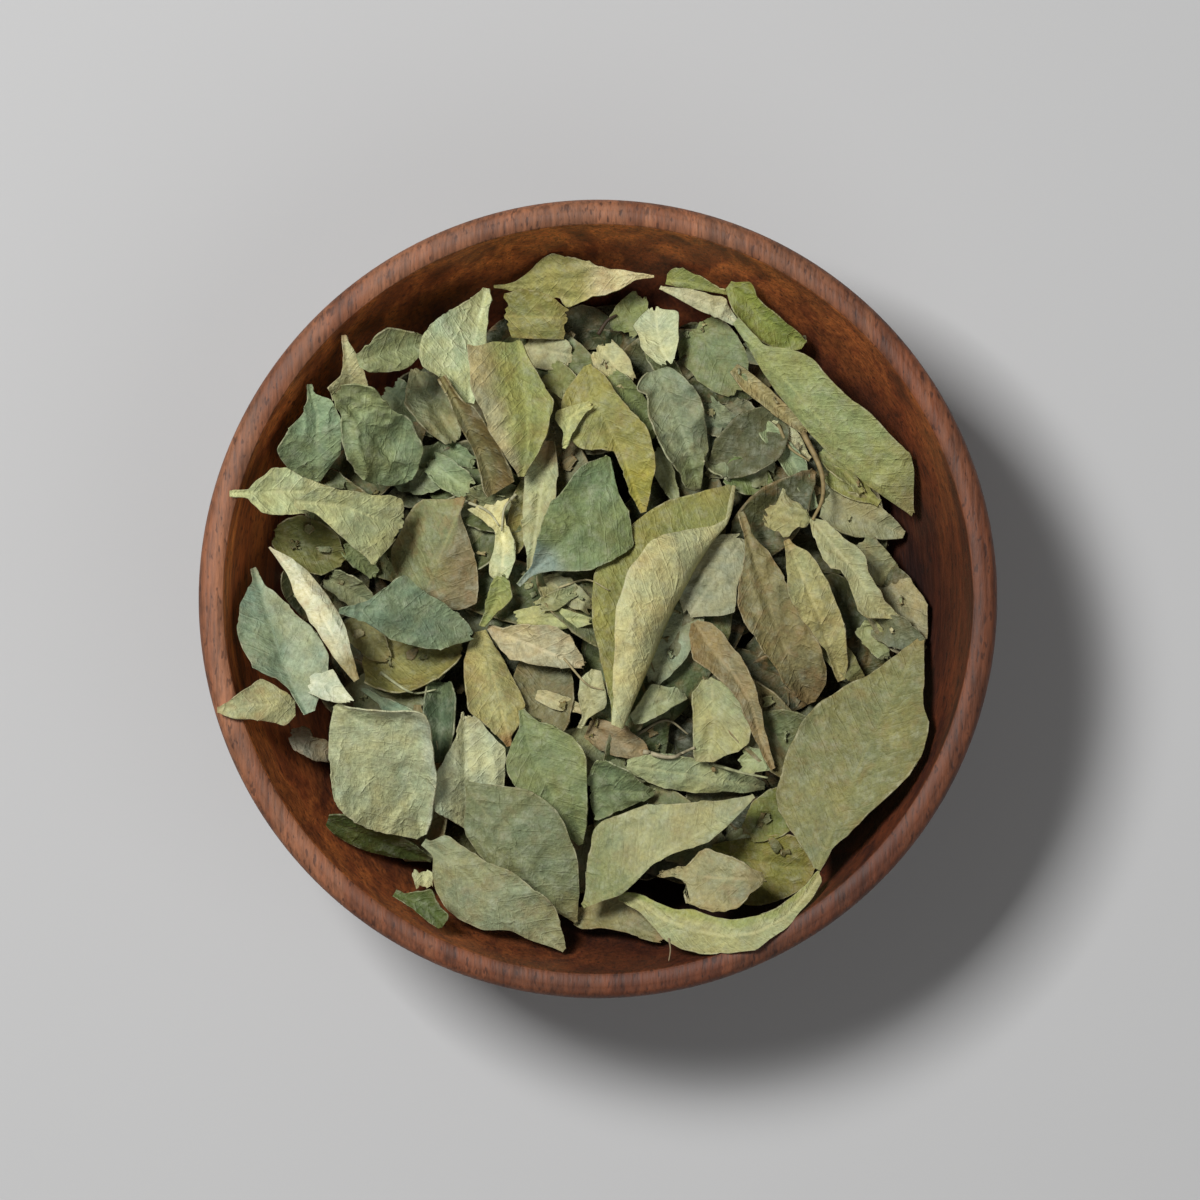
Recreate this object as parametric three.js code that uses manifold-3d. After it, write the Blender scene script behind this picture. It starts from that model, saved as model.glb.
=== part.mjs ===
import * as THREE from "three";
import Module from "manifold-3d";

// A turned wooden bowl filled with loose dried curry leaflets, in millimetres, +Z up, foot at z = 0.

// Bowl.
const RIM_RADIUS = 70;
const INNER_RIM_RADIUS = 66;
const BOWL_HEIGHT = 52;
const FOOT_RADIUS = 27;
const BOWL_SEGMENTS = 48;
const OUTER_PROFILE = [[FOOT_RADIUS, 0], [29.5, 2], [37, 5.2], [47, 10.6], [57, 18.8], [63.8, 28], [67.8, 38],
  [69.6, 46.5], [RIM_RADIUS, 49.8], [69.3, 51.4], [67.8, BOWL_HEIGHT]];
const INNER_PROFILE = [[INNER_RIM_RADIUS, BOWL_HEIGHT], [65.5, 51.3], [64.8, 47.5], [62.9, 40], [59, 30.5], [52, 20.5],
  [42, 13], [30, 9.3], [16, 7.8], [0, 7.4]];

// Leaves.
const LEAF_THICKNESS = 0.8;
const LEAF_GAP = 0.35;
const FUSE_DEPTH = 0.7;
const STALK_HALF_WIDTH = 0.55;
const TIP_HALF_WIDTH = 0.45;
const LEAF_STATIONS = [0, 0.06, 0.17, 0.33, 0.5, 0.67, 0.83, 0.94, 1];
const SMALL_STATIONS = [0, 0.08, 0.25, 0.5, 0.75, 0.92, 1];

// Hidden filling: a low core with seeded leaves standing out of it.
const CORE_PROFILE = [[0, 29], [25, 28.5], [44, 27], [54.2, 26.5], [50.8, 21.2], [41.2, 13.8], [29.7, 10], [0, 8.1]];
const HIDDEN_LEAVES = 34;
const HIDDEN_SEED = 20240611;
const HIDDEN_REACH = 50;

const CELL = 0.5;
const FIELD_HALF = 72;
const FIELD_SIZE = 2 * FIELD_HALF / CELL;
const MAX_LEAN = 0.48;
const LEAN_STEP = 0.06;
const RIM_LEAF = "leaf_w14";

// Each leaf: name, base x y, tip x y, half widths left and right of the midrib as seen from above,
// angles of the left half at midrib and margin, the same for the right half (degrees, up is positive),
// arch (rise of the middle), bow (sideways bend, left is positive), first and last part of the full leaf kept.
const UNDER_LEAVES = [
  ["leaf_w11", -57.7, 11.5, -45, 6, 4.5, 4.5, 35, 45, 35, 45, -1, 0, 0.1, 0.9],
  ["leaf_w22", -42, -16, -30, -21.5, 2.3, 2.2, 10, 20, -10, -20, 1, 0, 0.05, 0.95],
  ["leaf_w23", -28, -14.5, -28, -29, 2.5, 2.5, 45, 65, 45, 65, 0, 0, 0.1, 0.9],
  ["leaf_w16", -42, -9, -24, -8, 3, 7, 10, 20, 0, 60, -1, -0.5, 0.12, 0.95],
  ["leaf_sw3", -47.8, -39.2, -29.5, -46.5, 2.5, 2.5, 50, 60, -30, -50, 1, 0, 0.03, 1],
  ["leaf_c5", -12, 21, -15, 8, 2.2, 2.2, 10, 20, 10, 20, 0, 0, 0.1, 0.9],
  ["leaf_c9", -15, -4, -1, -4, 2.5, 2.5, 20, 10, -10, -30, 1, 0.5, 0.1, 0.95],
  ["leaf_c12", -11, -17, -2, -20, 1.5, 1.4, 10, 20, 10, 10, 0.5, 0, 0.05, 1],
  ["leaf_c13", -2, -23, 9, -27.5, 3, 3, 10, 30, -10, -30, 1, 0, 0.05, 0.95],
  ["leaf_s5", 5, -29.5, 30, -33.5, 3, 3, 10, 25, -20, -45, 1.5, 0, 0.02, 0.95],
  ["leaf_s7b", 20, -44, 38.5, -47.5, 6, 6, 10, 15, 5, 15, 1, 0, 0.08, 0.9],
  ["leaf_c17", 25, -28.5, 31, -28.5, 2.5, 2.5, 10, 10, 10, 10, 0.3, 0, 0.2, 0.8],
  ["leaf_e2", 40, 17.5, 54.5, 11.5, 3.5, 3.5, 5, 10, -10, 40, 1, 0, 0.1, 0.98],
  ["leaf_e3", 45.5, 9.5, 52.5, 3.5, 3.5, 3.5, 10, 10, 20, 10, 0.5, 0, 0.2, 0.8],
  ["leaf_e9", 51, 3, 56, -9, 5, 5.5, 5, 35, 10, 10, 1, 0, 0.15, 0.85],
  ["leaf_ne6", 41, 22.5, 50, 17, 2, 2, 10, 30, 10, 30, 0, 0, 0.1, 1],
  ["leaf_ne3", 28.5, 33.5, 37.8, 25, 2.3, 2.2, -15, -30, -15, -30, 0.7, 0, 0.1, 1],
  ["leaf_n12", 4, 47, 7.5, 54.5, 3, 3, 10, 20, 10, 20, 0.5, 0, 0.1, 0.9],
  ["leaf_n16", 18.5, 34, 28.5, 31, 4, 4, 10, 30, 0, -20, 1, 0, 0.15, 0.85],
  ["leaf_n11", 0, 45, 6, 37.5, 3, 3, 15, 20, 0, 10, 0.5, 0, 0.1, 0.9],
  ["leaf_n5", -13.5, 45, -4, 43, 3.2, 3.3, 10, 10, 10, 25, 0.5, 0, 0.2, 0.85],
  ["leaf_n17", 17, 48.8, 25, 36.5, 5.5, 5.5, 15, 25, 10, -20, 1, 0, 0.1, 0.9],
  ["leaf_n18", 24, 41, 37, 29.5, 1.5, 1.5, 20, 30, 20, 30, 0.5, 0, 0.05, 1],
  ["leaf_c14b", 17, -1, 9.5, -15, 3.5, 3.5, 10, 10, 10, 10, 1, 0, 0.1, 0.9],
  ["leaf_se2", 34, -35, 26, -42, 4, 4, 0, 15, 10, 20, 0.5, 0, 0.1, 0.9],
];
const TOP_LEAVES = [
  ["leaf_w5", -25, 28, -33, 41, 4, 4, 30, 30, 30, 25, 0, 0, 0.2, 0.95],
  ["leaf_w3", -43, 35, -44.5, 46.3, 4, 4, 25, 25, 25, 10, 1, 0, 0.2, 1],
  ["leaf_w4", -42, 41, -30, 45, 3.5, 3.5, 10, 25, 20, 5, 1, 0, 0.05, 0.8],
  ["leaf_sw2", -55, -24, -46, -27.5, 2.5, 2.5, 15, 30, 15, -10, 1, 0, 0.1, 1],
  ["leaf_s9", -4, -56, 11.5, -60.3, 2.7, 2.7, 10, 30, 10, 15, 1, -1, 0.03, 0.95],
  ["leaf_ne1b", 26, 43.5, 37, 46, 2.6, 2.6, 20, 30, 0, 10, 0.5, 0, 0.1, 1],
  ["leaf_n8", 12, 56.5, 23.5, 54, 1.8, 1.8, 20, 40, -10, -20, 0.5, 0, 0.05, 1],
  ["leaf_n1", 10, 57, -18.5, 55.5, 3.8, 4.2, -10, -25, -5, -35, 2, -0.5, 0.03, 1],
  ["leaf_ne1", 23, 55.5, 36.7, 45.3, 3, 3, 10, 15, 15, 35, 1, 0.5, 0.02, 1],
  ["leaf_w14", -53, -19, -66.6, -19.1, 3.8, 3.7, 0, 8, 0, 5, 0.8, 0, 0.05, 1],
  ["leaf_sw4", -30.8, -47.7, -30.8, -51.3, 2, 2, 10, 10, 10, 10, 0.3, 0, 0.3, 0.7],
  ["leaf_sw5", -35.7, -51.5, -27, -57, 2.5, 2.5, 10, 30, 15, 20, 0.5, 0, 0.03, 1],
  ["leaf_w1", -51, 20.5, -50.6, 37.8, 5.2, 5, 15, 30, 20, 5, 1.5, 0.5, 0.12, 1],
  ["leaf_w2", -34, 20.5, -46, 37, 7, 7, 30, -15, -10, 35, 1.5, 0, 0.05, 0.85],
  ["leaf_w9", -64.5, 18.4, -46, 19, 4.2, 4.1, 15, 10, 15, 10, 1, 0, -0.16, 0.8],
  ["leaf_w13", -50.5, -20, -60.8, 5.5, 7.2, 8, 22, 18, 22, 10, 0.5, 0, 0.04, 1],
  ["leaf_w6", -23, 34.5, -19.8, 55, 8.5, 3.5, 8, 20, 15, 35, 1.5, 1.5, 0.08, 1],
  ["leaf_w7", -27.5, 39, -16, 20, 2.5, 2.5, 30, 60, 15, 50, 1, 0, 0.03, 0.97],
  ["leaf_w18", -31, 0, -23.5, 18.3, 7.5, 7.5, -5, -20, 8, -25, 1, 0, 0.15, 0.8],
  ["leaf_c7", -20.5, -5.5, -15.5, -26, 4, 4, -10, -35, 15, 30, 1.5, 0, 0.05, 0.97],
  ["leaf_c3", -8.5, 28, -12, 5, 2.5, 2.5, 25, 40, 10, 20, 1, 0, 0.04, 0.97],
  ["leaf_c8", -19.5, -5, -2.5, -12, 4.2, 4.3, 5, 20, 10, -15, 1, 0.5, 0.04, 0.96],
  ["leaf_c11", -3.2, -23, -1, -12.3, 2.4, 2.4, 10, 20, 10, 5, 0.5, -0.3, -0.25, 1],
  ["leaf_c15", 6, -21.5, 15.8, -17.3, 2.7, 2.8, 10, 25, 10, 20, 1, 0, 0.05, 1],
  ["leaf_c16", 20, -14, 20, -28.8, 4.2, 4.3, 10, 20, 10, 20, 1, 0, 0.1, 1],
  ["leaf_c14", 26, 11, 16, -3, 5, 5, 10, 10, 5, 20, 1, 0, 0.1, 0.9],
  ["leaf_e7", 25.3, 15.4, 38, -18.5, 6.5, 6.5, 5, 15, 10, 20, 2, 0, -0.03, 0.98],
  ["leaf_e4", 38.5, 14, 29.3, 14.5, 4.2, 4.3, 5, -15, 10, 15, 0.5, 0, 0.1, 0.9],
  ["leaf_n2", -17, 49.5, -5, 49.3, 4.7, 4.5, 10, 15, -10, -20, 1, 0, 0.2, 0.78],
  ["leaf_n15", 10, 40.5, 18, 19.3, 6, 6, 30, -10, -10, 40, 1.5, 0, 0.05, 0.97],
  ["leaf_n6", -2, 41.5, 8, 15.3, 6.5, 6.5, 8, 30, 15, 5, 2, 0, 0.04, 1],
  ["leaf_n9", 11, 55.3, 26, 47, 2.2, 2.3, -10, -20, -10, -30, 1, 0, 0.04, 1],
  ["leaf_s1", -23, -40.5, -23.5, -20, 5, 7.5, 15, 25, 10, 20, 1, 0, 0.08, 0.93],
  ["leaf_s4", -1.5, -36, 10.3, -34.3, 5, 5, 10, 20, 5, 20, 1, 0, 0.1, 0.95],
  ["leaf_s7", 3.5, -52.3, 39, -48, 4.5, 4.5, 15, 20, 10, 30, 2, -7.5, 0.03, 1],
  ["leaf_sw1", -31.2, -42, -46, -18.5, 13, 5, 5, 15, 35, 55, 1.5, -4.5, 0.06, 1],
  ["leaf_n10", 11.6, 41, 9, 52, 2.9, 3.7, 5, 10, 15, 10, 0.5, 0, 0.2, 0.85],
  ["leaf_w10", -53.5, 16, -34.5, 12, 5.5, 5.5, 20, 5, 15, -10, 1, 0, 0.05, 0.8],
  ["leaf_w12", -42.5, -14.5, -58, 9.2, 2.4, 2.6, -10, -30, -15, -35, 1.5, 0, 0.04, 1],
  ["leaf_w17", -45.5, -2, -21.8, -6.8, 7, 4, 10, 5, 5, -25, 1, 0, 0.05, 0.95],
  ["leaf_w15", -50.5, -14, -43, -18, 3.3, 3.2, 0, -5, 0, 5, 0.2, 0, 0.3, 0.75],
  ["leaf_n4", -16, 45.7, -13.5, 21.5, 6.5, 8.7, 10, 30, 5, 15, 2, 0, 0.3, 1],
  ["leaf_n7", -6, 26.5, -4, 35.5, 3, 3.6, 10, 10, 5, 10, 0.5, 0, 0.05, 0.55],
  ["leaf_s2", -13.5, -19.5, -3, -43.5, 7, 7, 5, 20, 5, 20, 2, 0, 0.03, 1],
  ["leaf_s8", 30, -49.2, 10, -48.6, 4.5, 5, -5, -20, 10, 15, 1, 0, 0.1, 0.92],
  ["leaf_e8", 17, -4, 31, -30, 4.5, 4.5, 10, 10, 25, 20, 2, 0, 0.03, 1],
  ["leaf_e6", 43.3, -14.5, 33.3, 10.5, 3.8, 3.7, 15, 20, 10, 25, 1.5, 0, 0.03, 1],
  ["leaf_e5", 37.7, 14.2, 53.8, -3.8, 3, 3, 10, 25, 0, 10, 1.5, 0, 0.03, 1],
  ["leaf_e1", 24, 49, 56.3, 15.2, 5, 5.2, 5, 15, -15, -40, 2.5, 0, 0.02, 0.9],
  ["leaf_c4", -17, 3.5, -19, 17.5, 2.5, 2.5, 10, 20, 5, 20, 1, 0, 0.05, 0.6],
  ["leaf_c4b", -19, 4.5, -20.5, -4.8, 1.8, 1.7, 10, 20, 10, 20, 0.5, 0, 0.1, 1],
  ["leaf_c1", 3.2, -22.3, 23.6, 20.2, 13.5, -9, 0, 10, 110, 190, 2, -1.6, 0.02, 1],
  ["leaf_s3", -23.5, -32, -3.5, -57, 7.5, 7.5, 5, 10, -20, -40, 2, 0, 0.04, 1],
  ["leaf_s6", -2.7, -54.3, 27.5, -34.6, 6.5, 6.5, 10, 20, -5, -25, 3, 3, 0.03, 1],
  ["leaf_sw6", -31, -43, -6, -62, 5.5, 5.5, 5, 20, 10, -20, 2, 0, 0.03, 1],
  ["leaf_se1", 38.5, -47.5, 57.3, -7, 12.5, 9.5, 5, 15, 10, 20, 2, 0.8, 0, 1],
  ["leaf_c2", 3.5, 24, -14, 2.3, 9.5, 6, 5, -5, 12, 25, 2, 0, 0.03, 1],
];

const wasm = await Module();
wasm.setup();

/** A closed manifold solid from points and triangle indices. */
function solid(points, triangles) {
  return new wasm.Manifold(new wasm.Mesh({
    numProp: 3,
    vertProperties: Float32Array.from(points.flat()),
    triVerts: Uint32Array.from(triangles.flat()),
  }));
}

/** Points and triangles of a profile turned about Z. The profile closes on itself or on the axis. */
function turned(profile, segments) {
  const points = [];
  const rings = profile.map(([r, z]) => {
    const first = points.length;
    const count = r === 0 ? 1 : segments;
    for (let k = 0; k < count; k++) {
      const a = 2 * Math.PI * k / segments;
      points.push([r * Math.cos(a), r * Math.sin(a), z]);
    }
    return { first, count };
  });
  const triangles = [];
  const at = (ring, k) => ring.first + k % ring.count;
  for (let i = 0; i < rings.length - 1; i++) {
    for (let k = 0; k < segments; k++) {
      const [a, b] = [rings[i], rings[i + 1]];
      if (a.count > 1) triangles.push([at(a, k), at(a, k + 1), at(b, k + 1)]);
      if (b.count > 1) triangles.push([at(a, k), at(b, k + 1), at(b, k)]);
    }
  }
  return { points, triangles };
}

/** Half width of a leaflet at u of its length: rounded at the base, drawn out at the tip. */
function outline(u) {
  if (u <= 0) return 0;
  const peak = 0.393 ** 0.55 * 0.607 ** 0.85;
  return u ** 0.55 * (1 - u) ** 0.85 / peak;
}

/** Sideways and upward run of a half blade at share s of its width, for angles from a0 to a1 degrees. */
function halfSection(a0, a1, s) {
  const from = THREE.MathUtils.degToRad(a0);
  const turn = THREE.MathUtils.degToRad(a1 - a0);
  if (Math.abs(turn) < 1e-6) return [s * Math.cos(from), s * Math.sin(from)];
  const now = from + turn * s;
  return [(Math.sin(now) - Math.sin(from)) / turn, (Math.cos(from) - Math.cos(now)) / turn];
}

/** Closed blade of one leaf, at height 0, as points and triangles. */
function blade(spec, plain = false) {
  const [, bx, by, tx, ty, left, right, l0, l1, r0, r1, arch, bow, cut0, cut1] = spec;
  const length = Math.hypot(tx - bx, ty - by);
  const stations = plain || length < 17 ? SMALL_STATIONS : LEAF_STATIONS;
  const folded = Math.abs(l1 - l0) > 30 || Math.abs(r1 - r0) > 30 || Math.max(left, right) > 6;
  const shares = folded ? [0.55, 1] : [1];
  const [dx, dy] = [(tx - bx) / length, (ty - by) / length];
  const sides = [[1, left, l0, l1], [-1, right, r0, r1]];
  const across = [...shares.map((s) => [1, s]).reverse(), [0, 0], ...shares.map((s) => [-1, s])].reverse();
  const points = [];
  const low = [];
  for (const t of stations) {
    const u = cut0 + (cut1 - cut0) * t;
    const swell = Math.sin(Math.PI * t);
    const end = t < 0.5 ? STALK_HALF_WIDTH : TIP_HALF_WIDTH;
    for (const [side, s] of across) {
      const [sign, half, a0, a1] = sides[side < 0 ? 1 : 0];
      const [runFull] = halfSection(a0, a1, 1);
      const wide = Math.max(Math.abs(half) * outline(u), end) / Math.abs(runFull);
      const [run, rise] = halfSection(a0, a1, s);
      const y = bow * swell + sign * wide * run;
      const z = arch * swell + wide * rise;
      const angle = side === 0
        ? THREE.MathUtils.degToRad((l0 - r0) / 2)
        : sign * THREE.MathUtils.degToRad(a0 + (a1 - a0) * s);
      const place = (along, up) => [bx + dx * length * t - dy * along, by + dy * length * t + dx * along, up];
      points.push(place(y, z));
      low.push(place(y + LEAF_THICKNESS * Math.sin(angle), z - LEAF_THICKNESS * Math.cos(angle)));
    }
  }
  return shell([...points, ...low], stations.length, across.length);
}

/** Triangles of a closed sheet: an upper grid of rows by columns, then the lower grid in the same order. */
function shell(points, rows, columns) {
  const top = (i, j) => i * columns + j;
  const base = (i, j) => rows * columns + i * columns + j;
  const triangles = [];
  const quad = (a, b, c, d) => triangles.push([a, b, c], [a, c, d]);
  for (let i = 0; i < rows - 1; i++) {
    for (let j = 0; j < columns - 1; j++) {
      quad(top(i, j), top(i + 1, j), top(i + 1, j + 1), top(i, j + 1));
      triangles.push([base(i, j), base(i + 1, j + 1), base(i + 1, j)]);
      triangles.push([base(i, j), base(i, j + 1), base(i + 1, j + 1)]);
    }
    quad(top(i, 0), base(i, 0), base(i + 1, 0), top(i + 1, 0));
    quad(base(i, columns - 1), top(i, columns - 1), top(i + 1, columns - 1), base(i + 1, columns - 1));
  }
  for (let j = 0; j < columns - 1; j++) {
    quad(top(0, j), top(0, j + 1), base(0, j + 1), base(0, j));
    quad(top(rows - 1, j + 1), top(rows - 1, j), base(rows - 1, j), base(rows - 1, j + 1));
  }
  return { points, triangles };
}

/** Seeded draws between 0 and 1. */
function drawer(seed) {
  let state = seed;
  return () => {
    state = (state * 48271) % 2147483647;
    return state / 2147483647;
  };
}

/** Height of a profile of falling radii at radius r. */
function profileHeight(profile, r) {
  for (let i = 0; i < profile.length - 1; i++) {
    const [[r0, z0], [r1, z1]] = [profile[i], profile[i + 1]];
    if (r <= r0 && r >= r1) return z0 + (z1 - z0) * (r0 - r) / (r0 - r1);
  }
  return -1000;
}

/** Height of the bowl's upper surface at a point. */
function bowlTop(x, y) {
  const r = Math.hypot(x, y);
  return r <= INNER_RIM_RADIUS ? profileHeight(INNER_PROFILE, r) : (r < RIM_RADIUS + 1 ? BOWL_HEIGHT : -1000);
}

/** Lowest and highest height of a mesh in each cell of the plan that it covers. */
function footprint(points, triangles) {
  const cells = new Map();
  for (const [ia, ib, ic] of triangles) {
    const [a, b, c] = [points[ia], points[ib], points[ic]];
    const xs = [a[0], b[0], c[0]];
    const ys = [a[1], b[1], c[1]];
    const area = (b[0] - a[0]) * (c[1] - a[1]) - (c[0] - a[0]) * (b[1] - a[1]);
    if (Math.abs(area) < 1e-9) continue;
    for (let i = Math.floor((Math.min(...xs) + FIELD_HALF) / CELL); i * CELL - FIELD_HALF <= Math.max(...xs); i++) {
      for (let j = Math.floor((Math.min(...ys) + FIELD_HALF) / CELL); j * CELL - FIELD_HALF <= Math.max(...ys); j++) {
        const x = i * CELL - FIELD_HALF;
        const y = j * CELL - FIELD_HALF;
        const wb = ((x - a[0]) * (c[1] - a[1]) - (c[0] - a[0]) * (y - a[1])) / area;
        const wc = ((b[0] - a[0]) * (y - a[1]) - (x - a[0]) * (b[1] - a[1])) / area;
        if (wb < 0 || wc < 0 || wb + wc > 1) continue;
        const z = a[2] + wb * (b[2] - a[2]) + wc * (c[2] - a[2]);
        grow(cells, i * FIELD_SIZE + j, z);
      }
    }
  }
  for (const [x, y, z] of points) {
    grow(cells, Math.round((x + FIELD_HALF) / CELL) * FIELD_SIZE + Math.round((y + FIELD_HALF) / CELL), z);
  }
  return cells;
}

function grow(cells, key, z) {
  const span = cells.get(key);
  if (!span) cells.set(key, [z, z]);
  else {
    span[0] = Math.min(span[0], z);
    span[1] = Math.max(span[1], z);
  }
}

const wall = new Float32Array(FIELD_SIZE * FIELD_SIZE);
const pile = new Float32Array(FIELD_SIZE * FIELD_SIZE).fill(-1000);
for (let i = 0; i < FIELD_SIZE; i++) {
  for (let j = 0; j < FIELD_SIZE; j++) {
    const [x, y] = [i * CELL - FIELD_HALF, j * CELL - FIELD_HALF];
    wall[i * FIELD_SIZE + j] = Math.max(bowlTop(x + CELL, y), bowlTop(x - CELL, y), bowlTop(x, y + CELL),
      bowlTop(x, y - CELL), bowlTop(x, y));
  }
}

/** Raises the pile's height field to the top of a settled mesh, one cell wider all round. */
function heapUp(cells, plane) {
  for (const [key, [, high]] of cells) {
    const z = high + planeHeight(plane, key);
    for (const step of [0, 1, -1, FIELD_SIZE, -FIELD_SIZE, FIELD_SIZE + 1, FIELD_SIZE - 1, 1 - FIELD_SIZE,
      -FIELD_SIZE - 1]) {
      if (z > pile[key + step]) pile[key + step] = z;
    }
  }
}

function planeHeight([a, px, py], key) {
  const i = Math.floor(key / FIELD_SIZE);
  const j = key % FIELD_SIZE;
  return a + px * (i * CELL - FIELD_HALF) + py * (j * CELL - FIELD_HALF);
}

/** The lean and lift with which a leaf lies lowest on what is under it. */
function settle(cells, gap, maxLean) {
  let best = null;
  const keys = [...cells.keys()];
  const lows = [...cells.values()].map(([low]) => low);
  const steps = Math.round(maxLean / LEAN_STEP);
  for (let m = -steps; m <= steps; m++) {
    for (let n = -steps; n <= steps; n++) {
      const lean = [0, m * LEAN_STEP, n * LEAN_STEP];
      let lift = -1000;
      let sum = 0;
      keys.forEach((key, k) => {
        const z = lows[k] + planeHeight(lean, key);
        sum += z;
        lift = Math.max(lift, wall[key] + LEAF_GAP - z, pile[key] + gap - z);
      });
      const cost = sum / keys.length + lift + 4 * (lean[1] ** 2 + lean[2] ** 2);
      if (!best || cost < best.cost) best = { cost, plane: [lift, lean[1], lean[2]] };
    }
  }
  return best.plane;
}

/** Points leaned and lifted by a plane's height. */
function lay(points, [a, px, py]) {
  return points.map(([x, y, z]) => [x, y, z + a + px * x + py * y]);
}

/** A leaf settled on the pile, as a solid. The pile grows by it. */
function settledLeaf(spec, gap) {
  const { points, triangles } = blade(spec);
  const cells = footprint(points, triangles);
  const plane = settle(cells, gap, spec[0] === RIM_LEAF ? 2 * MAX_LEAN : MAX_LEAN);
  heapUp(cells, plane);
  return solid(lay(points, plane), triangles);
}

/** One seeded leaf of the hidden filling, standing out of the core and clear of the bowl. */
function hiddenLeaf(draw) {
  const angle = 2 * Math.PI * draw();
  const radius = HIDDEN_REACH * Math.sqrt(draw());
  const heading = 2 * Math.PI * draw();
  const half = 9 + 6 * draw();
  const [x, y] = [radius * Math.cos(angle), radius * Math.sin(angle)];
  const [ex, ey] = [half * Math.cos(heading), half * Math.sin(heading)];
  const fold = 35 * draw();
  const lean = [0.8 * (draw() - 0.5), 0.8 * (draw() - 0.5)];
  const rise = 0.5 + 3.5 * draw();
  const spec = ["", x - ex, y - ey, x + ex, y + ey, 5.5, 5.5, fold, fold - 10, fold / 2, fold, 1.5, 0, 0.03, 1];
  const { points, triangles } = blade(spec, true);
  const core = profileHeight(CORE_PROFILE.slice(0, 4).map(([r, z]) => [r, z]).reverse(), Math.min(radius, 54));
  let plane = [core + rise - lean[0] * x - lean[1] * y, ...lean];
  const clear = Math.max(...lay(points, plane).map(([px, py, pz]) => bowlTop(px, py) + 0.6 - pz));
  if (clear > 0) plane[0] += clear;
  return solid(lay(points, plane), triangles);
}

/** The largest connected piece of a solid, without its sealed hollows. */
function onePiece(body) {
  const parts = body.decompose();
  return parts.reduce((a, b) => (a.volume() > b.volume() ? a : b));
}

/** A mesh node from a manifold solid. */
function node(name, body, material) {
  const mesh = body.getMesh();
  const geometry = new THREE.BufferGeometry();
  geometry.setAttribute("position", new THREE.BufferAttribute(Float32Array.from(mesh.vertProperties), 3));
  geometry.setIndex(new THREE.BufferAttribute(Uint32Array.from(mesh.triVerts), 1));
  geometry.computeVertexNormals();
  const part = new THREE.Mesh(geometry, material);
  part.name = name;
  return part;
}

const group = new THREE.Group();
const wood = new THREE.MeshStandardMaterial({ name: "bowl", color: 0x8a5238, roughness: 0.6 });
const leafColours = [0x9ca274, 0x8a9066, 0xb2b186, 0x7f9070];

// Bowl.
const bowl = turned([[0, 0], ...OUTER_PROFILE, ...INNER_PROFILE], BOWL_SEGMENTS);
group.add(node("bowl", solid(bowl.points, bowl.triangles), wood));

// Heap: the core, the hidden leaves and the lowest visible leaves, fused in one node.
const core = turned([...CORE_PROFILE].reverse(), 28);
let heap = solid(core.points, core.triangles);
const draw = drawer(HIDDEN_SEED);
for (let k = 0; k < HIDDEN_LEAVES; k++) heap = heap.add(hiddenLeaf(draw));
heap = onePiece(heap);
const filling = heap.getMesh();
const fillPoints = [];
for (let k = 0; k < filling.vertProperties.length; k += 3) fillPoints.push([...filling.vertProperties.slice(k, k + 3)]);
const fillTriangles = [];
for (let k = 0; k < filling.triVerts.length; k += 3) fillTriangles.push([...filling.triVerts.slice(k, k + 3)]);
heapUp(footprint(fillPoints, fillTriangles), [0, 0, 0]);
for (const spec of UNDER_LEAVES) heap = heap.add(settledLeaf(spec, -FUSE_DEPTH));
group.add(node("heap", onePiece(heap), new THREE.MeshStandardMaterial({ name: "heap", color: 0x7b8258, roughness: 0.85 })));

// Upper leaves, each a piece of its own.
TOP_LEAVES.forEach((spec, k) => {
  const material = new THREE.MeshStandardMaterial({ name: spec[0], color: leafColours[k % 4], roughness: 0.85 });
  group.add(node(spec[0], settledLeaf(spec, LEAF_GAP), material));
});

export default group;
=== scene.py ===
import math

import bpy
import numpy as np
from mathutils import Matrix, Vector
from mathutils.bvhtree import BVHTree


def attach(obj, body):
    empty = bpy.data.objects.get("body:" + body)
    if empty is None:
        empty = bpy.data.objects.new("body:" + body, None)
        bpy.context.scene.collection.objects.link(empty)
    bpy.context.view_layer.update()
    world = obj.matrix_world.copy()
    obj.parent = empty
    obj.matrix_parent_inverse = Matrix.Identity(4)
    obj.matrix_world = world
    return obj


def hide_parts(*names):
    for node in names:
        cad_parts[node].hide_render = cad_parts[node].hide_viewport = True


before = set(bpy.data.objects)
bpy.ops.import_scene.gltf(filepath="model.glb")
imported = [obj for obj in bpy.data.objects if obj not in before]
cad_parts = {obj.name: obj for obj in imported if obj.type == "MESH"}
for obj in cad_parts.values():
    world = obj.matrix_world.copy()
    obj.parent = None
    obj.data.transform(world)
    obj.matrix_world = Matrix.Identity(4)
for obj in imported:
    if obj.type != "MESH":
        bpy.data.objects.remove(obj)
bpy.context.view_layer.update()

# Bowl
# One piece of reddish brown hardwood, turned on a lathe: a flat rim band with an eased outer edge and a wall
# about 4 mm thick that curves in to a flat foot. It was sanded and thinly oiled. Its rim is worn dry.

MM = 0.001
OUTER_PROFILE = [(0, 0), (27, 0), (29.5, 2), (37, 5.2), (47, 10.6), (57, 18.8), (63.8, 28), (67.8, 38),
                 (69.6, 46.5), (70, 49.8), (69.3, 51.4), (67.8, 52)]
INNER_PROFILE = [(66, 52), (65.5, 51.3), (64.8, 47.5), (62.9, 40), (59, 30.5), (52, 20.5), (42, 13),
                 (30, 9.3), (16, 7.8), (0, 7.4)]
PROFILE_STEPS = 8
RIM_HEIGHT = 52
OUTER_RADIUS = 70
BOWL_SEGMENTS = 240


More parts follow.
